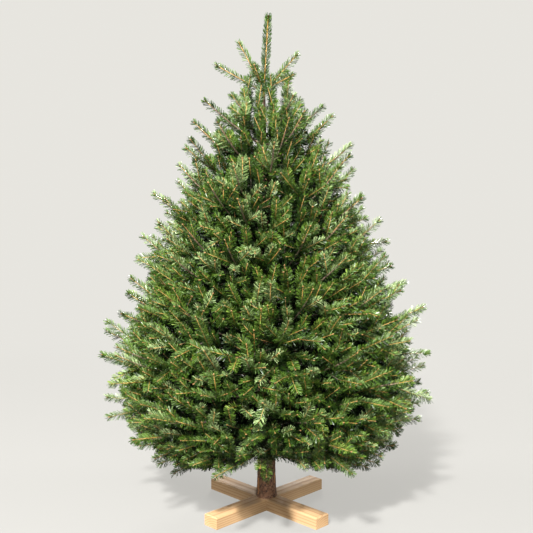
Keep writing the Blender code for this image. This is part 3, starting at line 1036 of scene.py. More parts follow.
    def grow(self, groups: list[list[BoughLine]]) -> list[list[Shoot]]:
        """Grows every bough, order by order, so that no twig takes a leading one's room.

        Args:
            groups: Each ring's boughs.

        Returns:
            Each ring's shoots.
        """
        rng = random.Random(SEED)
        grown: list[list[Shoot]] = []
        waiting: list[tuple[int, Bud]] = []
        for number, group in enumerate(groups):
            grown.append([])
            for line in group:
                shoots, buds = self.axis(line)
                grown[number] += shoots
                waiting += [(number, bud) for bud in buds]
        while waiting:
            rng.shuffle(waiting)
            waiting.sort(key=lambda pair: pair[1].order)
            later = []
            for number, bud in waiting:
                shoots, buds = self.twig(rng, bud)
                grown[number] += shoots
                later += [(number, new) for new in buds]
            waiting = later
        for empty in self.empty:
            self.fill_gaps(rng, grown, empty)
        self.lead_out(rng, [shoot for shoots in grown for shoot in shoots])
        for shoots in grown:
            for shoot in shoots:
                shoot.cover = self.cover(shoot.point(0.6))
        return grown

    def lead_out(self, rng: random.Random, shoots: list[Shoot]) -> None:
        """Lets the strongest tips, well apart, run on to the outline.

        Args:
            rng: Random draws.
            shoots: Every shoot of the crown.
        """
        tips = [
            shoot for shoot in shoots
            if shoot.age == 0 and shoot.order < 3 and shoot.end.z < self.lead_top
            and depth_in_crown(shoot.end) < self.lead_depth
        ]
        rng.shuffle(tips)
        tips.sort(key=lambda shoot: shoot.order)
        reached: list[Vector] = []
        for shoot in tips:
            run = shoot.end - shoot.start
            end = shoot.end
            if depth_in_crown(end) > self.at_outline:
                way = (run.normalized() + self.aim(end) * 0.5).normalized()
                length = self.run_inside(shoot.start, way, self.lead_length, 0.0)
                if not run.length < length < self.lead_length - 0.005:
                    continue
                end = shoot.start + way * length
            if any((end - other).length < self.lead_gap for other in reached):
                continue
            shoot.end = end
            reached.append(end)

    def cover(self, place: Vector) -> float:
        """How thick the growth is between a place and the open, by its clearest way out.

        Args:
            place: The place.

        Returns:
            0 where nothing is in the way; about 1 where two thirds of the view is taken.
        """
        flat = Vector((place.x, place.y, 0.0)).normalized()
        least = math.inf
        for degrees in WAYS_OUT:
            way = raised(flat, degrees)
            spots = (place + way * (self.way_step * step) for step in range(2, 13))
            least = min(least, sum(self.thicket.at(spot) for spot in spots) * self.way_weight)
        # Painted shade: the slim top counts as more covered than it is, so that its needles and
        # twigs take darker tones there too, and its needles are fewer and wider
        slim = clamp((self.slim_radius - read(CROWN, place.z - CUT_Z)) / 0.30)
        return least * (1 + 0.9 * slim)

    def fill_gaps(self, rng: random.Random, grown: list[list[Shoot]], empty: float) -> None:
        """Lets a bud break on the nearest twig wherever the crown is still empty.

        Args:
            rng: Random draws.
            grown: Each ring's shoots, which it adds to.
            empty: The share of a full cell below which a cell counts as empty.
        """
        points = []
        for number, shoots in enumerate(grown):
            for shoot in shoots:
                points += [(number, shoot, share) for share in (0.35, 0.7, 1.0)]
        tree = KDTree(len(points))
        for index, (_, shoot, share) in enumerate(points):
            tree.insert(shoot.point(share), index)
        tree.balance()
        size = self.thicket.cell
        nearest, farthest = self.gap_twig
        shortest, longest = self.gap_shoot
        outer, inner = self.gap_depth
        wide, tall = int(0.72 / size), int(2.0 / size)
        cells = [
            cell for cell in product(range(-wide, wide), range(-wide, wide), range(tall))
            if self.thicket.held.get(cell, 0.0) < size * empty
        ]
        rng.shuffle(cells)
        for cell in cells:
            spot = Vector([(value + rng.uniform(0.3, 0.7)) * size for value in cell])
            slim = self.gap_slim * slimness(spot)
            if not outer + slim < depth_in_crown(spot) < self.bare_depth - inner:
                continue
            best, chosen = 0.25, None
            for place, index, distance in tree.find_range(spot, farthest):
                if distance < nearest:
                    continue
                way = (spot - place).normalized()
                score = way.dot(self.aim(place)) - distance * 3
                if score > best:
                    best, chosen = score, (points[index], place, way)
            if chosen is None or self.thicket.held.get(cell, 0.0) > size * empty:
                continue
            (number, parent, _), place, way = chosen
            wanted = min(longest, (spot - place).length + 0.035)
            length = self.run_inside(place, way, wanted, 0.075 + slim)
            end = place + way * length
            if length < shortest or self.thicket.crowd(place, end) > size * self.gap_full:
                continue
            if way.cross(parent.up).length < 0.1:
                continue
            shoot = Shoot(place, end, faced(way, parent.up), 0, 3, 0.0012)
            grown[number].append(shoot)
            self.count(shoot)


@dataclass
class NeedleRule:
    """How needles stand on a shoot.

    Args:
        per_metre: Needles on a metre of well-lit shoot.
        length: The length of a full needle.
        width: Its width.
        fewest: The fewest needles on a shoot.
        lit_cover: The cover past which a shoot has no open air.
        lit_more: How many more needles it has in the open, as a share.
        lit_finer: How much finer they are there.
        shaded_fewer: How many fewer it has in full shade.
        shaded_wider: How much wider they are there.
        close_more: How many times as many the leader has.
        parted: The share that stands to the left and right.
        part_angle: The angle above the level of those, and its spread, in radians.
        lean: The angle to the shoot, in degrees.
        lean_above: How much less it is on top.
        lean_close: The angle on the leader.
        lean_tip: How much less it is at a shoot's tip, as a share.
        tuft: The share of a young shoot's needles that stand round its bud.
        tip_start: Where a shoot's tip starts, as a share of its length.
        roll: The spread of the turns about their own lines, in radians.
        light: The share in the lighter tone at random, how much more on top as a painted
            highlight, and how much more at a young tip.
        dark: The share in the darker tone at random, and how much more below and at the heel as
            painted shade.
    """

    per_metre: float = 1040.0
    length: float = 0.0258
    width: float = 0.0029
    fewest: int = 6
    lit_cover: float = 0.45
    lit_more: float = 0.65
    lit_finer: float = 0.28
    shaded_fewer: float = 0.70
    shaded_wider: float = 1.6
    close_more: float = 1.7
    parted: float = 0.42
    part_angle: tuple[float, float] = (0.20, 0.42)
    lean: float = 60.0
    lean_above: float = 12.0
    lean_close: float = 48.0
    lean_tip: float = 0.32
    tuft: float = 0.05
    tip_start: float = 0.80
    roll: float = 0.45
    light: tuple[float, float, float] = (0.09, 0.54, 0.06)
    dark: tuple[float, float, float] = (0.08, 0.85, 0.65)

    def deal(
        self, shoot: Shoot, shaded: float, tone: Tone, draws: np.random.Generator
    ) -> tuple[np.ndarray, np.ndarray]:
        """The needles of one shoot.

        Args:
            shoot: The shoot.
            shaded: How shaded it is, from 0 to 1; a shaded shoot has fewer, wider needles.
            tone: Its tone; its young tip is lighter, its upper side lighter as a painted
                highlight, and its underside and heel darker as painted shade.
            draws: The random draws.

        Returns:
            Corners, four to a needle, and each needle's tone.
        """
        start, end, up = (np.array(value) for value in (shoot.start, shoot.end, shoot.up))
        run = end - start
        span = float(np.linalg.norm(run))
        along = run / span
        side = np.cross(along, up)
        side /= np.linalg.norm(side)
        up = np.cross(side, along)
        lit = max(0.0, 1 - shoot.cover / self.lit_cover)
        richness = 1 + self.lit_more * lit - self.shaded_fewer * shaded
        richness *= self.close_more if shoot.close else 1.0
        fineness = 1 - self.lit_finer * lit
        count = max(self.fewest, int(self.per_metre * richness * span))
        share = (np.arange(count) + draws.uniform(0, 1, count)) / count
        share = 0.02 + 0.98 * share
        tuft = draws.uniform(0, 1, count) < self.tuft + 0.003 / span
        if shoot.age:
            tuft[:] = False
        share = np.where(tuft, draws.uniform(0.90, 1.01, count), share)
        kind = draws.uniform(0, 1, count)
        left = np.where(draws.uniform(0, 1, count) < 0.5, 0.0, math.pi)
        around = np.where(
            kind < self.parted,
            left + np.where(left > 1, -1, 1) * draws.normal(*self.part_angle, count),
            draws.uniform(0, 2 * math.pi, count),
        )
        around = np.where(tuft, draws.uniform(0, 2 * math.pi, count), around)
        lean = self.lean - self.lean_above * np.clip(np.sin(around), 0, 1)
        lean = np.radians(lean) + draws.normal(0, 0.10, count)
        if shoot.close:
            around = draws.uniform(0, 2 * math.pi, count)
            lean = np.radians(self.lean_close) + draws.normal(0, 0.08, count)
        tip = np.clip((share - self.tip_start) / 0.20, 0, 1)
        lean *= 1 - self.lean_tip * tip
        lean = np.where(tuft, draws.uniform(0.25, 0.95, count), lean)
        out = np.cos(around)[:, None] * side + np.sin(around)[:, None] * up
        way = np.cos(lean)[:, None] * along + np.sin(lean)[:, None] * out
        fullness = 0.72 + 0.28 * np.sin(np.pi * np.clip(share * 0.8, 0, 1))
        size = self.length * shoot.needle * fullness
        size *= draws.uniform(0.88, 1.06, count) * (1 - 0.12 * tip)
        if shoot.order >= 3:
            size *= 0.9
        root = start + run * share[:, None] + out * shoot.root_radius * 0.5
        face = np.cos(lean)[:, None] * out - np.sin(lean)[:, None] * along
        flat = np.cross(face, way)
        roll = draws.normal(0, self.roll, count)[:, None]
        broad = face * np.cos(roll) + flat * np.sin(roll)
        keel = np.cross(broad, way)
        half = self.width / 2 * (1 + self.shaded_wider * shaded) * fineness
        half = half * draws.uniform(0.85, 1.15, count)
        tip_end = root + way * size[:, None] + along * (size * 0.08)[:, None]
        wide = broad * half[:, None]
        heel = keel * (half * 0.3)[:, None]
        corners = np.stack(
            (
                root - wide * 0.5,
                root + wide * 0.5 + heel,
                tip_end + wide - way * (size * 0.07)[:, None],
                tip_end - wide * 0.8,
            ),
            axis=1,
        )
        light, dark = LIGHTER.get(tone, tone), DARKER.get(tone, tone)
        luck = draws.uniform(0, 1, count)
        rise = out[:, 2]
        young_tip = (share > self.tip_start) * (shoot.age == 0)
        # Painted highlight: needles on the upper side take the lighter tone; young tips and a
        # random few take it too
        some, above, at_tip = self.light
        bright = luck < some + above * np.clip(rise, 0, 1) + at_tip * young_tip
        # Painted shade: needles on the underside and at the heel take the darker tone, as do a
        # random few
        some, below, at_heel = self.dark
        heel_shade = np.clip(1 - share / 0.5, 0, 1)
        dull = luck > 1 - some + below * np.clip(rise, -1, 0) - at_heel * heel_shade
        tones = np.where(dull, dark.value, np.where(bright, light.value, tone.value))
        return corners, tones.astype(np.int32)


def linked(name: str, data: bpy.types.ID) -> bpy.types.Object:
    """Makes an object of some data and links it to the scene."""
    made = bpy.data.objects.new(name, data)
    bpy.context.scene.collection.objects.link(made)
    return made


def place_in_order(part: bmesh.types.BMEdge | bmesh.types.BMFace) -> int:
    """A number to sort by, since an extrusion's order changes from run to run."""
    corners = [v.index for v in part.verts]
    return min(corners) * MOST_CORNERS + max(corners)


def modelled(
    name: str, bm: bmesh.types.BMesh, material: bpy.types.Material
) -> bpy.types.Object:
    """Makes an object of a bmesh, which it frees.

    Args:
        name: The object's name.
        bm: The bmesh.
        material: The object's material.

    Returns:
        The object.
    """
    bm.verts.index_update()
    for parts in (bm.edges, bm.faces):
        parts.sort(key=place_in_order)
    mesh = bpy.data.meshes.new(name)
    bm.to_mesh(mesh)
    bm.free()
    mesh.materials.append(material)
    return linked(name, mesh)


def tube(
    bm: bmesh.types.BMesh, sides: int, steps: int
) -> Iterator[tuple[float, list[tuple[bmesh.types.BMVert, Vector]]]]:
    """Grows a tube ring by ring, for its maker to shape, and closes its ends.

    Args:
        bm: The mesh that it joins.
        sides: Faces round it.
        steps: Rows of faces along it.

    Yields:
        How far along a ring is, from 0 to 1, and its vertices with their places on a circle
        of radius 1.
    """
    ring = bmesh.ops.create_circle(bm, cap_ends=False, segments=sides, radius=1.0)["verts"]
    circle = [v.co.copy() for v in ring]
    edges = list(dict.fromkeys(e for v in ring for e in v.link_edges))
    first = list(edges)
    for step in range(steps + 1):
        if step:
            geom = bmesh.ops.extrude_edge_only(bm, edges=edges)["geom"]
            ring = [g for g in geom if isinstance(g, bmesh.types.BMVert)]
            edges = [g for g in geom if isinstance(g, bmesh.types.BMEdge)]
        yield step / steps, list(zip(ring, circle))
    bmesh.ops.edgeloop_fill(bm, edges=edges)
    bmesh.ops.edgeloop_fill(bm, edges=first)


def hand_over(made: bpy.types.Object, slot: str, nodes: Sequence[str] = ()) -> None:
    """Sets what a piece rides on, hides the solids that it stands for, and logs it.

    Args:
        made: The piece.
        slot: Not used.
        nodes: The solids that it stands for.
    """
    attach(made, "root")
    if nodes:
        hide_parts(*nodes)
    log.info("%s: %d faces", made.name, len(made.data.polygons))


@dataclass
class PieceMaker:
    """Joins many small things of one kind into one mesh.

    Args:
        materials: The materials that they are dealt, in the order of their numbers.
        triangles: The triangles of one thing, as its corners' numbers.
        slot: The finish that the pieces go by.
    """

    materials: list[bpy.types.Material]
    triangles: np.ndarray
    slot: str

    def piece(
        self, name: str, corners: np.ndarray, kinds: np.ndarray, nodes: Sequence[str] = ()
    ) -> None:
        """Makes one joined mesh.

        Args:
            name: The piece's name.
            corners: The corners of each thing.
            kinds: Each thing's material number.
            nodes: The solids that it stands for.
        """
        base = np.arange(len(corners), dtype=np.int32)[:, None, None] * corners.shape[1]
        faces = (self.triangles[None] + base).reshape(-1, 3)
        points = corners.astype(np.float32).ravel()
        mesh = bpy.data.meshes.new(name)
        mesh.vertices.add(points.size // 3)
        mesh.vertices.foreach_set("co", points)
        mesh.loops.add(faces.size)
        mesh.loops.foreach_set("vertex_index", faces.ravel())
        mesh.polygons.add(len(faces))
        mesh.polygons.foreach_set("loop_start", np.arange(0, faces.size, 3, dtype=np.int32))
        mesh.polygons.foreach_set("material_index", np.repeat(kinds, len(self.triangles)))
        mesh.update(calc_edges=True)
        for material in self.materials:
            mesh.materials.append(material)
        hand_over(linked(name, mesh), self.slot, nodes)


# The triangles of a needle, a twig and a bud, as their corners' numbers
NEEDLE_TRIANGLES = ((0, 1, 2), (0, 2, 3))
TWIG_TRIANGLES = (
    (0, 2, 1), (3, 4, 5), (0, 1, 4), (0, 4, 3),
    (1, 2, 5), (1, 5, 4), (2, 0, 3), (2, 3, 5),
)
BUD_TRIANGLES = (
    (0, 2, 3), (0, 3, 4), (0, 4, 5), (0, 5, 2),
    (1, 3, 2), (1, 4, 3), (1, 5, 4), (1, 2, 5),
)


class Crown:
    """The boughs' twigs, buds and needles, ring by ring."""

    # Twigs
    least_twig = 0.0010
    twig_taper = 0.0004
    twig_sides = 3
    # The cover past which needles take darker tones as painted shade, and are fewer and wider
    dark_cover = 1.15
    shade_cover = 0.80
    dim_cover = 0.48
    half_cover = 0.30
    wide_from = 0.6
    wide_over = 0.9
    # Buds at a tip, as turn and size; how far each reaches from its middle
    bud_heads = ((0.0, 1.0), (-0.75, 0.72), (0.75, 0.72))
    bud_middle = 0.0036
    bud_back = 0.0034
    bud_front = 0.0046
    bud_half = 0.0025
    bough_bud = 1.25
    top_needle = 0.92

    def __init__(self) -> None:
        """Makes the finishes and the makers of joined meshes."""
        self.needles, self.twigs, self.buds = (
            PieceMaker(
                [finish.build() for finish in finishes], np.array(triangles, np.int32), slot
            )
            for finishes, triangles, slot in (
                (NEEDLE_FINISHES.values(), NEEDLE_TRIANGLES, "needles"),
                (TWIG_FINISHES.values(), TWIG_TRIANGLES, "bough_bark"),
                ((BUD_FINISH,), BUD_TRIANGLES, "bough_bark"),
            )
        )
        self.rule = NeedleRule()
        self.growth = Growth()
        self.draws = np.random.default_rng(SEED)

    def tone_of(self, shoot: Shoot, draw: float) -> Tone:
        """The tone that a shoot's needles take: darker as painted shade the more growth lies
        outside it and low in the crown, paler as painted light in the open, and a deeper green as
        it grows older.

        Args:
            shoot: The shoot.
            draw: A random number from 0 to 1.

        Returns:
            The tone.
        """
        if shoot.tone:
            return shoot.tone
        height = shoot.point(0.5).z - CUT_Z
        cover = shoot.cover
        # Painted shade: the more growth lies outside a shoot, the darker its tone; shoots three
        # years old or more are dark as well
        if cover > self.dark_cover:
            return Tone.DEEP_SHADE
        if cover > self.shade_cover:
            return Tone.SHADE
        if cover > self.dim_cover or shoot.age >= 3:
            return Tone.SHADE if draw < 0.5 else Tone.DEEP
        upper = clamp((height - 0.35) / 0.9)
        if shoot.age >= 1:
            return Tone.DEEP if draw < 0.72 - 0.30 * upper else Tone.MID
        # Painted shade: low in the crown and under cover, more shoots take the deep green;
        # painted light: shoots in the open take the paler sage more often
        low = clamp((0.75 - height) / 0.50)
        clear = max(0.0, 1 - cover / self.half_cover)
        covered = cover > self.half_cover
        if draw < 0.08 + clear * (0.21 - 0.12 * low - 0.06 * upper):
            return Tone.SAGE
        if draw < 0.84 - 0.20 * upper - 0.50 * low * (1 - clear) - 0.25 * covered:
            return Tone.MID
        darker = covered or max(low, upper - 0.4) > 0
        return Tone.DEEP if draw < 0.94 and darker else Tone.FRESH

    def needle_arrays(self, shoots: list[Shoot]) -> tuple[np.ndarray, np.ndarray]:
        """The needles of many shoots.

        Args:
            shoots: The shoots.

        Returns:
            Corners, four to a needle, and each needle's tone.
        """
        corners, tones = [], []
        for shoot in shoots:
            depth = depth_in_crown((shoot.start + shoot.end) / 2)
            draw = float(self.draws.uniform())
            if depth > self.growth.bare_depth:
                continue
            shaded = clamp((shoot.cover - self.wide_from) / self.wide_over)
            found, dealt = self.rule.deal(shoot, shaded, self.tone_of(shoot, draw), self.draws)
            corners.append(found)
            tones.append(dealt)
        return np.concatenate(corners), np.concatenate(tones)

    def twig_corners(self, shoots: list[Shoot]) -> np.ndarray:
        """The twigs of some shoots, three-sided and tapering.

        Args:
            shoots: The shoots.

        Returns:
            Corners, six to a twig.
        """
        start = np.array([s.start for s in shoots])
        end = np.array([s.end for s in shoots])
        up = np.array([s.up for s in shoots])
        along = end - start
        along /= np.linalg.norm(along, axis=1, keepdims=True)
        side = np.cross(along, up)
        side /= np.linalg.norm(side, axis=1, keepdims=True)
        up = np.cross(side, along)
        root = np.array([s.root_radius for s in shoots])
        tip = np.array([max(self.least_twig, s.root_radius - self.twig_taper) for s in shoots])
        rings = []
        for place, radius in ((start, root), (end, tip)):
            for corner in range(self.twig_sides):
                angle = math.pi / 2 + corner * 2 * math.pi / self.twig_sides
                out = side * math.cos(angle) + up * math.sin(angle)
                rings.append(place + out * radius[:, None])
        return np.stack(rings, axis=1)

    def twig_tone(self, shoot: Shoot) -> TwigTone:
        """The colour that a twig has: pale where it is young and in the light; darker where it is
        older, and darker as painted shade where growth covers it.

        Args:
            shoot: The shoot.

        Returns:
            Its colour, by age and by painted shade.
        """
        if shoot.tone:
            return TwigTone.NEW
        # Painted shade: a covered twig takes the old twig's dark colour, and a half-covered young
        # one the second year's
        if shoot.cover > 0.9 or shoot.age > 3:
            return TwigTone.OLD_AND_DEEP_SHADE
        return TwigTone.NEW if shoot.age <= 1 and shoot.cover < 0.5 else TwigTone.SECOND_AND_HALF_SHADE

    def bud_corners(self, shoots: list[Shoot]) -> np.ndarray:
        """The buds at the tips of this year's shoots.

        Args:
            shoots: The shoots.

        Returns:
            Corners, six to a bud: its ends and the four round its middle.
        """
        rows = []
        for shoot in shoots:
            if shoot.age or shoot.cover > 1.0:
                continue
            along = (shoot.end - shoot.start).normalized()
            side = along.cross(shoot.up).normalized()
            up = side.cross(along)
            for turn, size in self.bud_heads[:1 if shoot.order >= 3 else None]:
                way = (along * math.cos(turn) + side * math.sin(turn)).normalized()
                across = way.cross(up).normalized()
                root = shoot.end - along * 0.001
                middle = root + way * (self.bud_middle * size)
                size *= self.bough_bud if shoot.order < 2 else 1.0
                wide = self.bud_half * size
                rows.append(
                    [
                        middle - way * self.bud_back * size, middle + way * self.bud_front * size,
                        middle + across * wide, middle + up * wide,
                        middle - across * wide, middle - up * wide,
                    ]
                )
        return np.array(rows)

    def dress(self, place: str, shoots: list[Shoot], nodes: list[str]) -> int:
        """Makes the needles, twigs and buds of some shoots.

        Args:
            place: Where they are, for the pieces' names.
            shoots: The shoots.
            nodes: The solids that they stand for.

        Returns:
            How many needles they have.
        """
        needles, tones = self.needle_arrays(shoots)
        self.needles.piece(f"needles_{place}", needles, tones, nodes)
        twig_tones = np.array([self.twig_tone(s).value for s in shoots], dtype=np.int32)
        self.twigs.piece(f"twigs_{place}", self.twig_corners(shoots), twig_tones)
        buds = self.bud_corners(shoots)
        self.buds.piece(f"buds_{place}", buds, np.zeros(len(buds), dtype=np.int32))
        counts = len(shoots), len(needles), len(buds)
        log.info("%s: %d shoots, %d needles, %d buds", place, *counts)
        return len(needles)

    def leader_shoots(self) -> list[Shoot]:
        """This year's leader and the ring of shoots round its foot.

        Returns:
            The shoots.
        """
        foot = TRUNK_LINE.centre(TOP_NODE)
        tip = TRUNK_LINE.centre(TREE_HEIGHT - 0.008)
        rng = random.Random(SEED)
        shoots = [
            Shoot(
                foot, tip, Vector((0, -1, 0)), 0, 0, 0.0038,
                close=True, tone=Tone.DEEP, needle=self.top_needle,
            )
        ]
        for turn, slope, length in TOP_SHOOTS:
            a, s = math.radians(turn), math.radians(slope)
            way = Vector((math.cos(a) * math.cos(s), math.sin(a) * math.cos(s), math.sin(s)))
            root = foot + UP * rng.uniform(0.005, 0.02)
            tone = rng.choice((Tone.MID, Tone.DEEP))
            end = root + way * length
            shoot = Shoot(root, end, faced(way, UP), 0, 0, 0.0022, tone=tone)
            shoot.needle = self.top_needle
            shoots.append(shoot)
        return shoots

    def stub_tuft(self) -> Shoot:
        """The tiny green shoot low on the front of the stub."""
        centre = TRUNK_LINE.centre(0.060)
        root = centre + Vector((0.004, -TRUNK_LINE.radius(0.060) + 0.001, 0.0))
        tip = root + Vector((0.002, -0.007, 0.006))
        return Shoot(root, tip, UP.copy(), 0, 3, 0.0010, tone=Tone.FRESH, needle=0.35)

    def build(self) -> None:
        """Grows every ring and the top."""
        groups = [ring_boughs(level) + between_boughs(level) for level in range(len(RINGS))]
        groups[0] += foot_boughs()
        total = 0
        for level, shoots in enumerate(self.growth.grow(groups)):
            count = RINGS[level].count
            nodes = [f"foliage_{level + 1}_{index + 1}" for index in range(count)]
            total += self.dress(f"ring_{level + 1}", shoots, nodes)
        total += self.dress("top", [*self.leader_shoots(), self.stub_tuft()], ["leader"])
        log.info("%d needles in all", total)


@dataclass
class Trunk:
    """The trunk with the relief of its bark.

    Args:
        sides: Faces round it.
        courses: Rows of faces up it.
        relief: How deep the cracks are at the foot.
        packed: How much closer the rows are at the foot, as a power.
        fade_height: The height at which the relief would be gone.
        least_fade: The least share of it that stays.
        scales: Bark scales to a metre, on each axis.
        ragged: Notches to a metre in the edge of a tear.
        tears: Where bark is torn off: middle angle, half width in degrees, lowest and highest.
    """

    sides: int = 72
    courses: int = 300
    relief: float = 0.0016
    packed: float = 1.7
    fade_height: float = 0.9
    least_fade: float = 0.12
    scales: tuple[float, float, float] = (85.0, 85.0, 52.0)
    ragged: float = 140.0
    tears: tuple[tuple[float, float, float, float], ...] = (
        (206.0, 12.0, 0.030, 0.086),
        (212.0, 5.0, 0.010, 0.026),
        (224.0, 5.0, 0.100, 0.110),
        (334.0, 6.0, 0.055, 0.100),
    )

    def build(self) -> None:
        """Makes the trunk."""
        # Unseeded, noise_vector follows the clock
        noise.seed_set(SEED)
        bm = bmesh.new()
        layer = bm.verts.layers.float.new("relief")
        torn = bm.verts.layers.float.new("bare")
        for along, ring in tube(bm, self.sides, self.courses):
            height = TOP_NODE * along**self.packed
            fade = max(self.least_fade, 1 - height / self.fade_height)
            for vertex, out in ring:
                spot = TRUNK_LINE.centre(height) + out * TRUNK_LINE.radius(height)
                crack = self.crack_at(spot)
                angle = math.degrees(math.atan2(out.y, out.x))
                bare = self.bare_at(spot, angle % 360, height)
                vertex[layer] = crack
                vertex[torn] = bare
                depth = self.relief * fade * (1 - crack)
                vertex.co = spot - out * (depth + (self.relief - depth) * bare)
        bmesh.ops.recalc_face_normals(bm, faces=bm.faces)
        hand_over(modelled("trunk_bark", bm, BarkFinish().build()), "bark", ["trunk"])

    def bare_at(self, spot: Vector, degrees: float, height: float) -> float:
        """How bare of bark a spot is.

        Args:
            spot: The spot.
            degrees: Its angle round the trunk.
            height: Its height above the cut.

        Returns:
            0 on bark, 1 on bare wood.
        """
        ragged = noise.noise(spot * self.ragged) * 0.5
        most = 0.0
        for middle, half, low, high in self.tears:
            across = 1 - abs(degrees - middle) / half
            up = 1 - abs(height - (low + high) / 2) / ((high - low) / 2)
            most = max(most, min(1.0, (min(across, up) + ragged) * 3))
        return most

    def crack_at(self, spot: Vector) -> float:
        """How far a spot stands out of the cracks between bark scales.

        Args:
            spot: The spot.

        Returns:
            0 in a crack, 1 on a scale.
        """
        grid = Vector([value * scale for value, scale in zip(spot, self.scales)])
        grid += noise.noise_vector(grid * 0.6) * 0.5
        near, next_near = noise.voronoi(grid)[0][:2]
        edge = min(1.0, (next_near - near) * 3.2)
        return edge * (0.75 + 0.25 * noise.noise(grid * 2.1))


@dataclass
class Limbs:
    """The woody part of every bough, with the relief of young bark.

    Args:
        sides: Faces round each.
        steps: Rows of faces along each.
        bough: A bough's radius in the lowest ring, and how much less it is in each ring above.
        small: The same for the small boughs between the rings.
        tip: The radius at the tips.
        rough: How much the radius varies, as a share.
        lumps: Lumps to a metre.
    """

    sides: int = 9
    steps: int = 14
    bough: tuple[float, float] = (0.0095, 0.0007)
    small: tuple[float, float] = (0.0055, 0.0003)
    tip: float = 0.0018
    rough: float = 0.14
    lumps: float = 90.0

    def build(self) -> None:
        """Makes the limbs as one piece."""
        bm = bmesh.new()
        for level in range(len(RINGS)):
            for lines, (thickest, less) in (
                (ring_boughs(level), self.bough), (between_boughs(level), self.small)
            ):
                for line in lines:
                    self.limb(bm, line, thickest - less * level)
        bmesh.ops.recalc_face_normals(bm, faces=bm.faces)
        nodes = [
            f"bough_{level + 1}_{index + 1}"
            for level in range(BOUGHED_RINGS)
            for index in range(RINGS[level].count)
        ]
        hand_over(modelled("boughs", bm, BoughFinish().build()), "bough_bark", nodes)

    def limb(self, bm: bmesh.types.BMesh, line: BoughLine, thick: float) -> None:
        """Adds one tapering limb.

        Args:
            bm: The mesh that it joins.
            line: The bough's line.
            thick: Its radius at the trunk.
        """
        for along, ring in tube(bm, self.sides, self.steps):
            share = 0.02 + 0.90 * along
            place = line.point(share)
            ahead = line.direction(share)
            across = ahead.cross(UP).normalized()
            normal = across.cross(ahead)
            radius = thick + (self.tip - thick) * share
            for vertex, corner in ring:
                out = across * corner.x + normal * corner.y
                rough = 1 + self.rough * noise.noise((place + out * 0.01) * self.lumps)
                vertex.co = place + out * (radius * rough)


class Stand:
    """The wooden cross and its screws, which keep their solids."""

    angles = {"stand_beam_lower": 45.0, "stand_beam_upper": 135.0}

    def dress(self) -> None:
        """Gives the beams their timber and the screws their steel."""
        for name, angle in self.angles.items():
            self.finish(name, TimberFinish(name + "_timber", angle).build())
            log.info("dressed %s", name)
        steel = SteelFinish().build()
        for side in ("left", "right"):
            self.finish(f"stand_screw_{side}", steel)
            log.info("dressed stand_screw_%s", side)

    def finish(self, name: str, material: bpy.types.Material) -> None:
        """Assigns a material to a solid's slots."""
        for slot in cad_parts[name].material_slots:
            slot.material = material


CROWN_MIDDLE = Vector((0.0, 0.0, 0.95))


@dataclass(frozen=True)
class Lamp:
    """A square soft light that faces the crown.

    Args:
        name: Its name.
        place: Where it stands.
        size: Its side.
        power: Its power in watts.
    """

    name: str
    place: tuple[float, float, float]
    size: float
    power: float

    def build(self) -> None:
        """Makes the lamp."""
        data = bpy.data.lights.new(self.name, "AREA")
        data.size = self.size
        data.energy = self.power
        lamp = linked(self.name, data)
        lamp.location = self.place
        aim = CROWN_MIDDLE - Vector(self.place)
        lamp.rotation_euler = aim.to_track_quat("-Z", "Y").to_euler()


LAMPS = (
    Lamp("key", (-1.3, -5.2, 4.9), 0.46, 2400.0),
    Lamp("front", (0.6, -4.4, 2.3), 1.0, 110.0),
    Lamp("left", (-4.0, 1.2, 2.4), 1.6, 230.0),
    Lamp("right", (4.0, 1.2, 2.4), 1.6, 230.0),
    Lamp("back", (0.4, 5.2, 2.2), 1.2, 500.0),
)


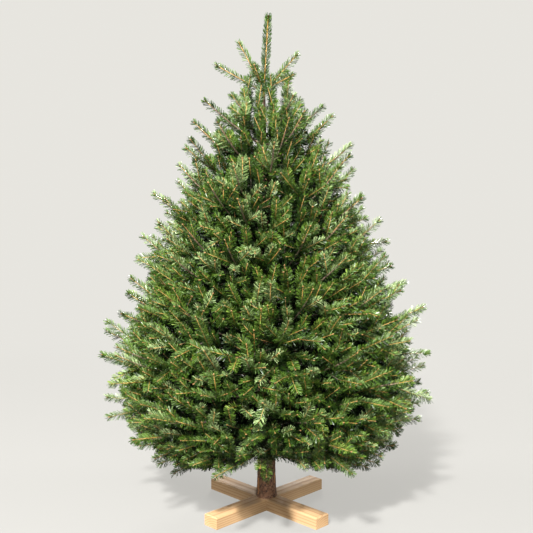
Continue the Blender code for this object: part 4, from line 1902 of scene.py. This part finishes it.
@dataclass
class Studio:
    """The floor, light and camera.

    Args:
        pitch: How far the camera looks up, in degrees; below zero it looks down.
        lens: Its lens, in millimetres on a 36 mm sensor.
        room_light: Strength of the light that the room's walls throw back.
        wall: The walls' colour.
        near_floor: The floor's colour near the tree.
        floor_radius: The floor's radius.
        glow: How far from the tree the floor starts to glow like the wall, and where it does.
    """

    pitch: float = -5.35
    lens: float = 55.0
    room_light: float = 0.11
    wall: Colour = (0.80, 0.785, 0.74)
    near_floor: Colour = (0.092, 0.090, 0.085)
    floor_radius: float = 14.0
    glow: tuple[float, float] = (0.7, 4.2)

    def build(self) -> None:
        """Sets the floor, the light and the camera."""
        self.floor()
        self.light()
        self.camera()

    def floor(self) -> None:
        """A wide pale floor that glows like the wall far from the tree."""
        bm = bmesh.new()
        bmesh.ops.create_circle(bm, cap_ends=True, segments=96, radius=self.floor_radius)
        sheet = NodeSheet("floor_paint")
        far = sheet.through(
            "ShaderNodeVectorMath", sheet.place(), "Vector", "Value", operation="LENGTH"
        )
        near, wide = self.glow
        glow = sheet.spread(
            far, interpolation_type="SMOOTHSTEP", from_min_in=near, from_max_in=wide
        )
        sheet.feed(self.wall, sheet.shader.inputs["Emission Color"])
        sheet.feed(sheet.spread(glow, to_min_in=0.50), sheet.shader.inputs["Emission Strength"])
        colour = sheet.mix(glow, self.near_floor, (0.0, 0.0, 0.0))
        made = modelled("floor", bm, sheet.finish(colour, 1.0, 0.0))
        made.location.z = -0.0005

    def light(self) -> None:
        """Soft light from all round, with a broad key from the front and above."""
        world = bpy.data.worlds.new("studio")
        world.use_nodes = True
        nodes, links = world.node_tree.nodes, world.node_tree.links
        room = nodes["Background"]
        room.inputs["Color"].default_value = (0.90, 0.88, 0.84, 1.0)
        room.inputs["Strength"].default_value = self.room_light
        wall = nodes.new("ShaderNodeBackground")
        wall.inputs["Color"].default_value = (*self.wall, 1.0)
        seen = nodes.new("ShaderNodeLightPath")
        either = nodes.new("ShaderNodeMixShader")
        links.new(seen.outputs["Is Camera Ray"], either.inputs["Fac"])
        links.new(room.outputs["Background"], either.inputs[1])
        links.new(wall.outputs["Background"], either.inputs[2])
        links.new(either.outputs["Shader"], nodes["World Output"].inputs["Surface"])
        bpy.context.scene.world = world
        for lamp in LAMPS:
            lamp.build()

    def camera(self) -> None:
        """Stands the camera in front of the tree."""
        data = bpy.data.cameras.new("camera")
        data.lens = self.lens
        data.sensor_width = 36.0
        eye = linked("camera", data)
        eye.location = (0.0, -EYE_DISTANCE, CUT_Z + EYE_HEIGHT)
        eye.rotation_euler = (math.radians(90.0 + self.pitch), 0.0, 0.0)
        bpy.context.scene.camera = eye


def main() -> None:
    """Builds the tree, dresses its stand and sets the studio."""
    logging.basicConfig(level=logging.INFO, format="%(name)s: %(message)s")
    Trunk().build()
    Limbs().build()
    Crown().build()
    Stand().dress()
    Studio().build()
    bpy.context.scene.view_settings.view_transform = "Standard"


if __name__ == "__main__":
    main()
